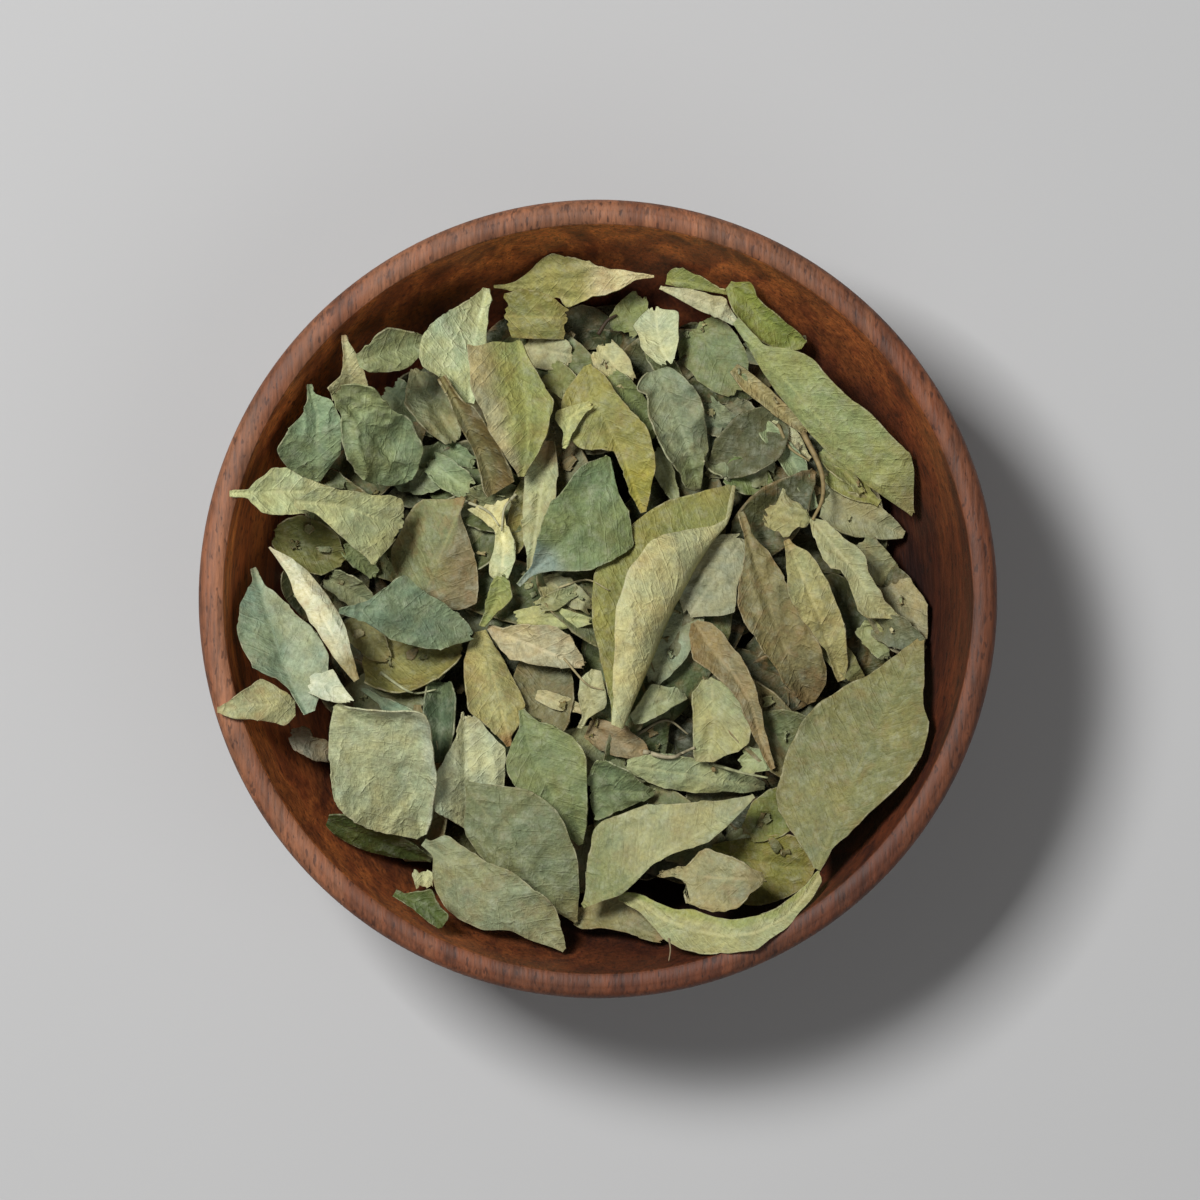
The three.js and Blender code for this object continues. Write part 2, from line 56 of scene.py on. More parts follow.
def smooth_path(points, steps):
    """Catmull-Rom curve p(t) through the points, with so many steps of t from one point to the next."""
    p = np.array(points, float)
    p = np.vstack([2 * p[0] - p[1], p, 2 * p[-1] - p[-2]])
    t = np.linspace(0, 1, steps, endpoint=False)[:, None]
    parts = []
    for a, b, c, d in zip(p[:-3], p[1:-2], p[2:-1], p[3:]):
        bend = (2 * a - 5 * b + 4 * c - d) + t * (3 * (b - c) + d - a)
        parts.append(b + 0.5 * t * ((c - a) + t * bend))
    return np.vstack(parts + [p[-2:-1]])


def new_object(name, points, faces, material, smooth=True):
    """A mesh object from points in millimetres, with its origin at the frame's."""
    mesh = bpy.data.meshes.new(name)
    mesh.from_pydata((np.asarray(points, float) * MM).tolist(), [], faces)
    mesh.polygons.foreach_set("use_smooth", [smooth] * len(mesh.polygons))
    mesh.materials.append(material)
    mesh.update()
    thing = bpy.data.objects.new(name, mesh)
    bpy.context.collection.objects.link(thing)
    return thing


def turned(profile, segments):
    """Surface (r cos a, r sin a, z) of a profile of (r, z) that starts and ends on the axis."""
    inner = profile[1:-1]
    a = np.linspace(0, 2 * np.pi, segments, endpoint=False)
    ring = np.stack([np.outer(inner[:, 0], np.cos(a)), np.outer(inner[:, 0], np.sin(a)),
                     np.repeat(inner[:, 1:2], segments, 1)], -1).reshape(-1, 3)
    points = np.vstack([ring, [[0, 0, profile[0, 1]], [0, 0, profile[-1, 1]]]])
    rows = np.arange(len(inner) - 1)[:, None] * segments
    k = np.arange(segments)[None, :]
    n = (k + 1) % segments
    quads = np.stack([rows + k, rows + n, rows + segments + n, rows + segments + k], -1).reshape(-1, 4)
    first, last = len(ring), len(ring) + 1
    end = (len(inner) - 1) * segments
    caps = [(first, int(b), int(a)) for a, b in zip(k[0], n[0])]
    caps += [(last, int(end + a), int(end + b)) for a, b in zip(k[0], n[0])]
    return points, quads.tolist() + caps


def linear(colour):
    """sRGB hex text to linear RGBA."""
    parts = [int(colour[i:i + 2], 16) / 255 for i in (1, 3, 5)]
    return [c / 12.92 if c <= 0.04045 else ((c + 0.055) / 1.055) ** 2.4 for c in parts] + [1.0]


def add(tree, kind, inputs=None, **settings):
    """A node with its settings, and its inputs given as values or as other sockets."""
    node = tree.nodes.new(kind)
    for key, value in settings.items():
        setattr(node, key, value)
    for key, value in (inputs or {}).items():
        if isinstance(value, bpy.types.NodeSocket):
            tree.links.new(value, node.inputs[key])
        else:
            node.inputs[key].default_value = value
    return node


def new_material(name, roughness, ior=1.45):
    """A material with its tree and its Principled shader."""
    material = bpy.data.materials.new(name)
    material.use_nodes = True
    shader = material.node_tree.nodes["Principled BSDF"]
    shader.inputs["Roughness"].default_value = roughness
    shader.inputs["IOR"].default_value = ior
    return material, material.node_tree, shader


def ramp(tree, value, stops):
    """Colour ramp over the stops (place, hex or grey)."""
    node = add(tree, "ShaderNodeValToRGB", {"Fac": value})
    points = node.color_ramp.elements
    while len(points) < len(stops):
        points.new(0.5)
    for point, (place, colour) in zip(points, stops):
        point.position = place
        point.color = linear(colour) if isinstance(colour, str) else (colour, colour, colour, 1)
    return node.outputs["Color"]


def mix(tree, factor, a, b, blend="MIX"):
    """Mix of two colours."""
    node = add(tree, "ShaderNodeMix", data_type="RGBA", blend_type=blend)
    for socket, value in ((node.inputs["Factor"], factor), (node.inputs[6], a), (node.inputs[7], b)):
        if isinstance(value, bpy.types.NodeSocket):
            tree.links.new(value, socket)
        else:
            socket.default_value = linear(value) if isinstance(value, str) else value
    return node.outputs[2]


def scaled(tree, vector, scale):
    """The vector times a scale for each axis."""
    return add(tree, "ShaderNodeMapping", {"Vector": vector, "Scale": scale}).outputs["Vector"]


def noise(tree, vector, scale, detail=4.0, rough=0.55, distortion=0.0):
    """Noise value, with scale in features per metre."""
    inputs = {"Vector": vector, "Scale": scale, "Detail": detail, "Roughness": rough}
    return add(tree, "ShaderNodeTexNoise", {**inputs, "Distortion": distortion}).outputs["Fac"]


def math_node(tree, operation, a, b=0.0, clamp=False):
    """One arithmetic step."""
    return add(tree, "ShaderNodeMath", {0: a, 1: b}, operation=operation, use_clamp=clamp).outputs[0]


def times(tree, a, b):
    """Product of two values."""
    return math_node(tree, "MULTIPLY", a, b)


def plus(tree, a, b):
    """Sum of two values."""
    return math_node(tree, "ADD", a, b)


def rescaled(tree, value, low, high, start=0.0, end=1.0):
    """The value brought evenly from low..high to start..end, and held at both ends."""
    inputs = {"Value": value, "From Min": low, "From Max": high, "To Min": start, "To Max": end}
    return add(tree, "ShaderNodeMapRange", inputs).outputs[0]


def wood_material():
    """Reddish brown hardwood, turned and oiled, with its fibres along Y and growth rings seen edge on.

    The fibres give fine dark streaks along Y, and short open pores where the lathe cut them. Painted shade
    darkens the wall downward. The side towards -X and +Y is paler and the side towards +X and -Y darker:
    partly wear on the rim, and painted light and painted shade on the wall.
    """
    material, tree, shader = new_material("oiled_hardwood", 0.5, 1.5)
    place = add(tree, "ShaderNodeTexCoord").outputs["Object"]
    axes = add(tree, "ShaderNodeSeparateXYZ", {"Vector": place})
    fibre = noise(tree, scaled(tree, place, (1, 0.1, 1)), 1500, 5, 0.65)
    streak = noise(tree, scaled(tree, place, (1, 0.06, 0.8)), 300, 5, 0.65, 0.4)
    ring = noise(tree, scaled(tree, place, (1, 0.04, 0.5)), 90, 4, 0.6, 1.2)
    patch = noise(tree, place, 60, 4, 0.65)
    pore = noise(tree, scaled(tree, place, (1, 0.3, 0.6)), 1500, 2, 0.5)
    wall = ramp(tree, ring, [(0.28, "#44200f"), (0.42, "#6b371b"), (0.52, "#8a4f28"), (0.62, "#70391c"),
                             (0.75, "#4a2511")])
    rim = ramp(tree, ring, [(0.25, "#5e3a28"), (0.45, "#7a523c"), (0.55, "#704630"), (0.75, "#5a3623")])
    # Painted shade: below the leaves the inner wall darkens downward, from 43 mm to 28 mm high, to about a
    # fifth of its colour.
    painted_shade_wall = mix(tree, 1.0, wall, (0.22, 0.2, 0.2, 1), "MULTIPLY")
    wall = mix(tree, rescaled(tree, axes.outputs["Z"], 0.028, 0.043), painted_shade_wall, wall)
    inner = add(tree, "ShaderNodeAttribute", attribute_name="inner").outputs["Fac"]
    colour = mix(tree, inner, rim, wall)
    colour = mix(tree, 0.7, colour, ramp(tree, streak, [(0.3, 0.24), (0.5, 0.5), (0.72, 0.78)]), "OVERLAY")
    colour = mix(tree, 0.8, colour, ramp(tree, fibre, [(0.32, 0.25), (0.58, 0.72)]), "OVERLAY")
    colour = mix(tree, 0.5, colour, ramp(tree, patch, [(0.35, 0.25), (0.65, 0.75)]), "OVERLAY")
    colour = mix(tree, ramp(tree, pore, [(0.6, 0.0), (0.67, 0.6)]), colour, "#2a130b")
    # Paler towards -X and +Y, darker towards +X and -Y: on the rim partly wear; on the wall painted light on
    # the upper left and painted shade on the right and lower side, about seven times darker there.
    x, y = times(tree, axes.outputs["X"], 0.75), times(tree, axes.outputs["Y"], 0.66)
    uneven = times(tree, math_node(tree, "SUBTRACT", patch, 0.5), 0.04)
    wear_and_painted_light = plus(tree, math_node(tree, "SUBTRACT", x, y), uneven)
    wear_and_painted_light = rescaled(tree, wear_and_painted_light, -0.03, 0.045)
    upper_left = mix(tree, inner, (1.14, 1.05, 0.9, 1), (2.45, 2.3, 1.9, 1))
    lower_right = mix(tree, inner, (0.58, 0.41, 0.28, 1), (0.34, 0.24, 0.19, 1))
    colour = mix(tree, 1.0, colour, mix(tree, wear_and_painted_light, upper_left, lower_right), "MULTIPLY")
    tree.links.new(colour, shader.inputs["Base Color"])
    tree.links.new(rescaled(tree, fibre, 0.0, 1.0, 0.5, 0.75), shader.inputs["Roughness"])
    relief = math_node(tree, "SUBTRACT", plus(tree, fibre, streak), pore)
    bump = add(tree, "ShaderNodeBump", {"Height": relief, "Strength": 0.5, "Distance": 0.00022})
    tree.links.new(bump.outputs["Normal"], shader.inputs["Normal"])
    return material


outer = np.vstack([[[0, 0]], smooth_path(OUTER_PROFILE[1:], PROFILE_STEPS)])
outer[:, 0] = np.minimum(outer[:, 0], OUTER_RADIUS)
profile = np.vstack([outer, smooth_path(INNER_PROFILE, PROFILE_STEPS)])
bowl = new_object("wooden_bowl", *turned(profile, BOWL_SEGMENTS), wood_material())
is_inner = np.arange(len(profile)) >= len(outer) + PROFILE_STEPS - 1
is_inner = np.append(np.repeat(is_inner[1:-1], BOWL_SEGMENTS), [False, True])
bowl.data.attributes.new("inner", "FLOAT", "POINT").data.foreach_set("value", is_inner.astype(float))
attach(bowl, "root")
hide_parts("bowl")

# Visible leaves
# Dried curry leaflets: thin, brittle blades with a pointed tip, a rounded base, a paler underside, raised
# veins and a surface puckered by drying. Each lies loose where its CAD solid lies. Some are folded, rolled,
# cupped or broken.

LEAF_STATIONS = [0, 0.06, 0.17, 0.33, 0.5, 0.67, 0.83, 0.94, 1]
SMALL_STATIONS = [0, 0.08, 0.25, 0.5, 0.75, 0.92, 1]
SMALL_LENGTH = 17
LEAF_GRID = (76, 31)
SMALL_GRID = (44, 21)
CAD_THICKNESS = 0.8
LEAF_THICKNESS = 0.3
RIB_DEPTH = 0.3
VEIN_SPACING = 3.2
STALK_HALF_WIDTH = 0.55
TIP_HALF_WIDTH = 0.45
CRUMPLE_GAIN = 1.3
NOISE_GRID = 64
LEAN_TRIES = 500
LEAN_TOLERANCE = 0.05
CAST_HEIGHT = 200.0
SCRAP_SLOPE = 0.5
SCRAP_LIFT = 0.6

# Name, base x y, tip x y, half widths left and right, angles of the left half at midrib and margin, of the
# right half, arch, bow, first and last part of the full leaf kept; then colour, crumple, raggedness and
# browning. Lengths are in mm and angles in degrees.
LOW_LEAVES = [
    ("w11", -57.7, 11.5, -45, 6, 4.5, 4.5, 35, 45, 35, 45, -1, 0, .1, .9, "#6a6c3c", .5, .4, .2),
    ("w22", -42, -16, -30, -21.5, 2.3, 2.2, 10, 20, -10, -20, 1, 0, .05, .95, "#8b9d7e", .4, .3, .1),
    ("w23", -28, -14.5, -28, -29, 2.5, 2.5, 45, 65, 45, 65, 0, 0, .1, .9, "#59664a", .3, .2, .1),
    ("w16", -42, -9, -24, -8, 3, 7, 10, 20, 0, 60, -1, -.5, .12, .95, "#86824c", .3, .4, .2),
    ("sw3", -47.8, -39.2, -29.5, -46.5, 2.5, 2.5, 50, 60, -30, -50, 1, 0, .03, 1, "#3f4a20", .3, .2, .1),
    ("c5", -12, 21, -15, 8, 2.2, 2.2, 10, 20, 10, 20, 0, 0, .1, .9, "#7e7a48", .4, .3, .4),
    ("c9", -15, -4, -1, -4, 2.5, 2.5, 20, 10, -10, -30, 1, .5, .1, .95, "#a5a975", .5, .5, .2),
    ("c12", -11, -17, -2, -20, 1.5, 1.4, 10, 20, 10, 10, .5, 0, .05, 1, "#a9a27a", .3, .3, .3),
    ("c13", -2, -23, 9, -27.5, 3, 3, 10, 30, -10, -30, 1, 0, .05, .95, "#8f8162", .5, .5, .6),
    ("s5", 5, -29.5, 30, -33.5, 3, 3, 10, 25, -20, -45, 1.5, 0, .02, .95, "#9ba176", .4, .3, .2),
    ("s7b", 20, -44, 38.5, -47.5, 6, 6, 10, 15, 5, 15, 1, 0, .08, .9, "#767336", .4, .3, .3),
    ("c17", 25, -28.5, 31, -28.5, 2.5, 2.5, 10, 10, 10, 10, .3, 0, .2, .8, "#8f9a74", .4, .5, .2),
    ("e2", 40, 17.5, 54.5, 11.5, 3.5, 3.5, 5, 10, -10, 40, 1, 0, .1, .98, "#8d8b66", .4, .4, .2),
    ("e3", 45.5, 9.5, 52.5, 3.5, 3.5, 3.5, 10, 10, 20, 10, .5, 0, .2, .8, "#8b8962", .5, .5, .3),
    ("e9", 51, 3, 56, -9, 5, 5.5, 5, 35, 10, 10, 1, 0, .15, .85, "#66664c", .6, .5, .3),
    ("ne6", 41, 22.5, 50, 17, 2, 2, 10, 30, 10, 30, 0, 0, .1, 1, "#84884e", .3, .3, .2),
    ("ne3", 28.5, 33.5, 37.8, 25, 2.3, 2.2, -15, -30, -15, -30, .7, 0, .1, 1, "#c3bf92", .4, .5, .3),
    ("n12", 4, 47, 7.5, 54.5, 3, 3, 10, 20, 10, 20, .5, 0, .1, .9, "#7c8450", .4, .4, .2),
    ("n16", 18.5, 34, 28.5, 31, 4, 4, 10, 30, 0, -20, 1, 0, .15, .85, "#6f7055", .7, .5, .3),
    ("n11", 0, 45, 6, 37.5, 3, 3, 15, 20, 0, 10, .5, 0, .1, .9, "#b0ad80", .4, .5, .3),
    ("n5", -13.5, 45, -4, 43, 3.2, 3.3, 10, 10, 10, 25, .5, 0, .2, .85, "#a2a27c", .5, .5, .3),
    ("n17", 17, 48.8, 25, 36.5, 5.5, 5.5, 15, 25, 10, -20, 1, 0, .1, .9, "#767f55", .5, .4, .2),
    ("n18", 24, 41, 37, 29.5, 1.5, 1.5, 20, 30, 20, 30, .5, 0, .05, 1, "#9a8f62", .2, .2, .4),
    ("c14b", 17, -1, 9.5, -15, 3.5, 3.5, 10, 10, 10, 10, 1, 0, .1, .9, "#8a9070", .4, .4, .2),
    ("se2", 34, -35, 26, -42, 4, 4, 0, 15, 10, 20, .5, 0, .1, .9, "#6a7038", .4, .4, .3),
]
HIGH_LEAVES = [
    ("w5", -25, 28, -33, 41, 4, 4, 30, 30, 30, 25, 0, 0, .2, .95, "#888b66", .8, .5, .3),
    ("w3", -43, 35, -44.5, 46.3, 4, 4, 25, 25, 25, 10, 1, 0, .2, 1, "#b4b48c", .4, .2, .5),
    ("w4", -42, 41, -30, 45, 3.5, 3.5, 10, 25, 20, 5, 1, 0, .05, .8, "#879069", .7, .4, .2),
    ("sw2", -55, -24, -46, -27.5, 2.5, 2.5, 15, 30, 15, -10, 1, 0, .1, 1, "#8b846e", .5, .4, .6),
    ("s9", -4, -56, 11.5, -60.3, 2.7, 2.7, 10, 30, 10, 15, 1, -1, .03, .95, "#7d7a56", .3, .3, .4),
    ("ne1b", 26, 43.5, 37, 46, 2.6, 2.6, 20, 30, 0, 10, .5, 0, .1, 1, "#5c6046", .3, .3, .2),
    ("n8", 12, 56.5, 23.5, 54, 1.8, 1.8, 20, 40, -10, -20, .5, 0, .05, 1, "#868c50", .3, .3, .2),
    ("n1", 10, 57, -18.5, 55.5, 3.8, 4.2, -10, -25, -5, -35, 2, -.5, .03, 1, "#9a995f", .6, .7, .2),
    ("ne1", 23, 55.5, 36.7, 45.3, 3, 3, 10, 15, 15, 35, 1, .5, .02, 1, "#7c843f", .4, .3, .2),
    ("w14", -53, -19, -66.6, -19.1, 3.8, 3.7, 0, 8, 0, 5, .8, 0, .05, 1, "#a6a57a", .4, .4, .5),
    ("sw4", -30.8, -47.7, -30.8, -51.3, 2, 2, 10, 10, 10, 10, .3, 0, .3, .7, "#b5b98f", .3, .5, .2),
    ("sw5", -35.7, -51.5, -27, -57, 2.5, 2.5, 10, 30, 15, 20, .5, 0, .03, 1, "#4c5a2c", .3, .2, .1),
    ("w1", -51, 20.5, -50.6, 37.8, 5.2, 5, 15, 30, 20, 5, 1.5, .5, .12, 1, "#84946f", .4, .2, .1),
    ("w2", -34, 20.5, -46, 37, 7, 7, 30, -15, -10, 35, 1.5, 0, .05, .85, "#7d8861", 1.1, .5, .1),
    ("w9", -64.5, 18.4, -46, 19, 4.2, 4.1, 15, 10, 15, 10, 1, 0, -.16, .8, "#b2b684", .5, .4, .2),
    ("w13", -50.5, -20, -60.8, 5.5, 7.2, 8, 22, 18, 22, 10, .5, 0, .04, 1, "#778870", .5, .3, .2),
    ("w6", -23, 34.5, -19.8, 55, 8.5, 3.5, 8, 20, 15, 35, 1.5, 1.5, .08, 1, "#bcc69c", .5, .3, .1),
    ("w7", -27.5, 39, -16, 20, 2.5, 2.5, 30, 60, 15, 50, 1, 0, .03, .97, "#77714a", .4, .3, .3),
    ("w18", -31, 0, -23.5, 18.3, 7.5, 7.5, -5, -20, 8, -25, 1, 0, .15, .8, "#838458", .4, .4, .5),
    ("c7", -20.5, -5.5, -15.5, -26, 4, 4, -10, -35, 15, 30, 1.5, 0, .05, .97, "#a39b64", .4, .3, .4),
    ("c3", -8.5, 28, -12, 5, 2.5, 2.5, 25, 40, 10, 20, 1, 0, .04, .97, "#a7a97f", .4, .3, .3),
    ("c8", -19.5, -5, -2.5, -12, 4.2, 4.3, 5, 20, 10, -15, 1, .5, .04, .96, "#b5ad8a", .4, .4, .4),
    ("c11", -3.2, -23, -1, -12.3, 2.4, 2.4, 10, 20, 10, 5, .5, -.3, -.25, 1, "#a8a982", .3, .3, .2),
    ("c15", 6, -21.5, 15.8, -17.3, 2.7, 2.8, 10, 25, 10, 20, 1, 0, .05, 1, "#959d78", .4, .3, .2),
    ("c16", 20, -14, 20, -28.8, 4.2, 4.3, 10, 20, 10, 20, 1, 0, .1, 1, "#9a9c70", .4, .4, .2),
    ("c14", 26, 11, 16, -3, 5, 5, 10, 10, 5, 20, 1, 0, .1, .9, "#96977a", .5, .4, .2),
    ("e7", 25.3, 15.4, 38, -18.5, 6.5, 6.5, 5, 15, 10, 20, 2, 0, -.03, .98, "#7f7852", .6, .4, .5),
    ("e4", 38.5, 14, 29.3, 14.5, 4.2, 4.3, 5, -15, 10, 15, .5, 0, .1, .9, "#9c9c70", .6, .8, .3),
    ("n2", -17, 49.5, -5, 49.3, 4.7, 4.5, 10, 15, -10, -20, 1, 0, .2, .78, "#928d52", .4, .5, .3),
    ("n15", 10, 40.5, 18, 19.3, 6, 6, 30, -10, -10, 40, 1.5, 0, .05, .97, "#7f8768", .9, .4, .2),
    ("n6", -2, 41.5, 8, 15.3, 6.5, 6.5, 8, 30, 15, 5, 2, 0, .04, 1, "#8c8a50", .5, .3, .3),
    ("n9", 11, 55.3, 26, 47, 2.2, 2.3, -10, -20, -10, -30, 1, 0, .04, 1, "#b1b08c", .3, .3, .2),
    ("s1", -23, -40.5, -23.5, -20, 5, 7.5, 15, 25, 10, 20, 1, 0, .08, .93, "#b2b794", .5, .5, .2),
    ("s4", -1.5, -36, 10.3, -34.3, 5, 5, 10, 20, 5, 20, 1, 0, .1, .95, "#76825a", .5, .3, .1),
    ("s7", 3.5, -52.3, 39, -48, 4.5, 4.5, 15, 20, 10, 30, 2, -7.5, .03, 1, "#a3a274", .3, .3, .2),
    ("sw1", -31.2, -42, -46, -18.5, 13, 5, 5, 15, 35, 55, 1.5, -4.5, .06, 1, "#abb08a", .5, .3, .2),
    ("n10", 11.6, 41, 9, 52, 2.9, 3.7, 5, 10, 15, 10, .5, 0, .2, .85, "#b9be96", .3, .5, .1),
    ("w10", -53.5, 16, -34.5, 12, 5.5, 5.5, 20, 5, 15, -10, 1, 0, .05, .8, "#aaac7c", .5, .5, .2),
    ("w12", -42.5, -14.5, -58, 9.2, 2.4, 2.6, -10, -30, -15, -35, 1.5, 0, .04, 1, "#cfcdac", .4, .3, .5),
    ("w17", -45.5, -2, -21.8, -6.8, 7, 4, 10, 5, 5, -25, 1, 0, .05, .95, "#788769", .5, .4, .1),
    ("w15", -50.5, -14, -43, -18, 3.3, 3.2, 0, -5, 0, 5, .2, 0, .3, .75, "#c2c6aa", .3, .5, .1),
    ("n4", -16, 45.7, -13.5, 21.5, 6.5, 8.7, 10, 30, 5, 15, 2, 0, .3, 1, "#8f9458", .4, .4, .3),
    ("n7", -6, 26.5, -4, 35.5, 3, 3.6, 10, 10, 5, 10, .5, 0, .05, .55, "#adad72", .3, .3, .1),
    ("s2", -13.5, -19.5, -3, -43.5, 7, 7, 5, 20, 5, 20, 2, 0, .03, 1, "#7b8559", .5, .3, .1),
    ("s8", 30, -49.2, 10, -48.6, 4.5, 5, -5, -20, 10, 15, 1, 0, .1, .92, "#948f68", .5, .8, .4),
    ("e8", 17, -4, 31, -30, 4.5, 4.5, 10, 10, 25, 20, 2, 0, .03, 1, "#8a7d58", .5, .4, .4),
    ("e6", 43.3, -14.5, 33.3, 10.5, 3.8, 3.7, 15, 20, 10, 25, 1.5, 0, .03, 1, "#a19c6b", .5, .4, .4),
    ("e5", 37.7, 14.2, 53.8, -3.8, 3, 3, 10, 25, 0, 10, 1.5, 0, .03, 1, "#a2a278", .4, .6, .3),
    ("e1", 24, 49, 56.3, 15.2, 5, 5.2, 5, 15, -15, -40, 2.5, 0, .02, .9, "#8e9560", .4, .2, .2),
    ("c4", -17, 3.5, -19, 17.5, 2.5, 2.5, 10, 20, 5, 20, 1, 0, .05, .6, "#cccb9b", .4, .6, .2),
    ("c4b", -19, 4.5, -20.5, -4.8, 1.8, 1.7, 10, 20, 10, 20, .5, 0, .1, 1, "#8b9155", .3, .3, .2),
    ("c1", 3.2, -22.3, 23.6, 20.2, 13.5, -9, 0, 10, 110, 190, 2, -1.6, .02, 1, "#8a894c", .3, .3, .2),
    ("s3", -23.5, -32, -3.5, -57, 7.5, 7.5, 5, 10, -20, -40, 2, 0, .04, 1, "#747a58", .4, .3, .2),
    ("s6", -2.7, -54.3, 27.5, -34.6, 6.5, 6.5, 10, 20, -5, -25, 3, 3, .03, 1, "#979870", .4, .2, .2),
    ("sw6", -31, -43, -6, -62, 5.5, 5.5, 5, 20, 10, -20, 2, 0, .03, 1, "#858a68", .4, .3, .3),
    ("se1", 38.5, -47.5, 57.3, -7, 12.5, 9.5, 5, 15, 10, 20, 2, .8, 0, 1, "#7a7a50", .5, .3, .3),
    ("c2", 3.5, 24, -14, 2.3, 9.5, 6, 5, -5, 12, 25, 2, 0, .03, 1, "#748359", .5, .3, .1),
]
# The same values, without a name, of broken pieces between them.
SCRAPS = [
    (-38, 37.5, -28, 29.5, 3.4, 3.2, 10, 30, -10, 30, .8, 0, .1, .9, "#7d8865", .8, .6, .1),
    (-30.5, 24.5, -22.5, 19, 2.8, 2.5, 20, 30, -10, 20, .5, 0, .1, .85, "#8a9770", .7, .6, .1),
    (-29, 27.8, -21.5, 24, 2.2, 2.2, 20, 40, 10, 20, .5, 0, .2, .9, "#7c8a62", .7, .6, .1),
    (-36, 20.4, -22.5, 22, 2.4, 2.2, 10, 20, 10, -20, .5, 0, .1, .95, "#868f69", .6, .5, .1),
    (-33.5, 23.5, -27.5, 27, 1.9, 1.9, 30, 40, 10, 20, .5, 0, .2, .85, "#93a07c", .6, .6, .1),
    (-49.5, 22.5, -44.5, 20, 1.6, 1.6, 10, 20, 10, 20, .3, 0, .1, .9, "#646b4b", .4, .4, .1),
    (-9.3, 41, -2.5, 35, 2.6, 2.8, 10, 20, 10, 20, .5, 0, .2, .9, "#7a8050", .4, .5, .2),
    (1.5, 40, 10.5, 28.5, 2.3, 2.3, -10, 30, 10, 30, .8, .8, .1, .95, "#727c4c", .5, .4, .1),
    (10, 27, 14, 17.3, 1.7, 1.6, 20, 30, 20, 30, .5, 0, .1, .95, "#939b76", .4, .4, .1),
    (14.5, 34, 30.5, 21, 5.6, 5.2, 20, -20, -10, 35, 1.2, 0, .1, .88, "#7d8567", 1.3, .9, .1),
    (22.5, 23.6, 32, 18.8, 2.8, 2.8, -10, 30, 10, 30, .6, 0, .1, .95, "#6f7d4c", .6, .5, .1),
    (29.2, 31, 38.5, 16, 1.9, 1.7, 30, 50, 20, 40, .8, 1, .08, .97, "#8d9972", .4, .3, .1),
    (39.5, 26.5, 47, 18.5, 1.5, 1.5, 20, 40, 20, 40, .5, .5, .1, .95, "#858a56", .4, .4, .3),
    (47, -4, 51.5, -11, 2.1, 2.1, 10, 30, 10, 30, .4, 0, .1, .95, "#8f9469", .5, .4, .2),
    (49, -4, 58, -8.8, 2.8, 2.8, 10, 20, 10, 20, .4, 0, .1, .9, "#64684e", .6, .5, .2),
    (39, -6.5, 47, -14.5, 2.6, 2.6, 10, 30, 10, 20, .6, 0, .1, .9, "#7a7c52", .6, .5, .3),
    (-44.8, 10, -39.2, 3.8, 2, 2, 20, 30, 10, 30, .4, 0, .1, .9, "#7d895e", .5, .5, .1),
    (-48.5, 4, -38.5, -2, 2.4, 2.4, 20, 30, 10, -20, .5, 0, .1, .95, "#858b67", .5, .5, .2),
    (-56, 4.5, -51.5, -1, 1.2, 1.2, 20, 30, 20, 30, .3, 0, .05, 1, "#9ca37b", .3, .3, .2),
    (-44.5, -3.2, -37, -11, 2.7, 2.7, 30, 50, 10, -20, .6, 0, .1, .95, "#8b8a5e", .7, .5, .4),
    (-10, 3.8, -.5, -2, 2.3, 2.3, 20, 40, -10, 20, .5, 0, .1, .85, "#9a986f", .8, .8, .3),
    (-11, -1.5, -3.5, 1.5, 1.4, 1.4, 20, 40, 10, 20, .4, 0, .1, .9, "#8c8f66", .5, .6, .2),
    (-20.5, -25, -25.5, -33, 2.2, 2.2, 20, 40, 10, 20, .4, 0, .1, .95, "#6d7853", .5, .4, .1),
    (9, 45.5, 15.5, 36.5, 1.8, 1.8, 10, 30, 10, 30, .4, 0, .1, .95, "#6f7853", .5, .4, .1),
]
UNDERSIDES = {"c1": "#bdb886"}
# Second colour of a leaf, the end or side that has it, and the share from which it starts.
SECOND_COLOURS = {
    "n1": ("#c4bb92", "base", 0.45), "n4": ("#b3ab80", "right", 0.6), "n6": ("#989140", "tip", 0.6),
    "e1": ("#7e7b4f", "tip", 0.75), "c2": ("#7f8c7e", "tip", 0.6), "w12": ("#93885f", "base", 0.7),
    "w13": ("#97a184", "right", 0.45), "w18": ("#7a7050", "right", 0.45), "e9": ("#938d6a", "left", 0.5),
    "se1": ("#8f7c52", "tip", 0.93), "s3": ("#6f6a4a", "tip", 0.85), "c7": ("#8f7247", "tip", 0.8),
    "c8": ("#a3906a", "base", 0.8), "e7": ("#6d6240", "tip", 0.75), "c3": ("#96805a", "base", 0.75),
    "w9": ("#c6c89c", "tip", 0.55), "s6": ("#7f8458", "base", 0.6), "s7": ("#8f9459", "left", 0.62),
    "n15": ("#6c7754", "tip", 0.6), "e8": ("#80714c", "right", 0.5), "s8": ("#7f7550", "base", 0.7),
    "w7": ("#6b5f3a", "left", 0.5), "n2": ("#7f7c42", "left", 0.55), "sw1": ("#b5b89c", "right", 0.7),
}
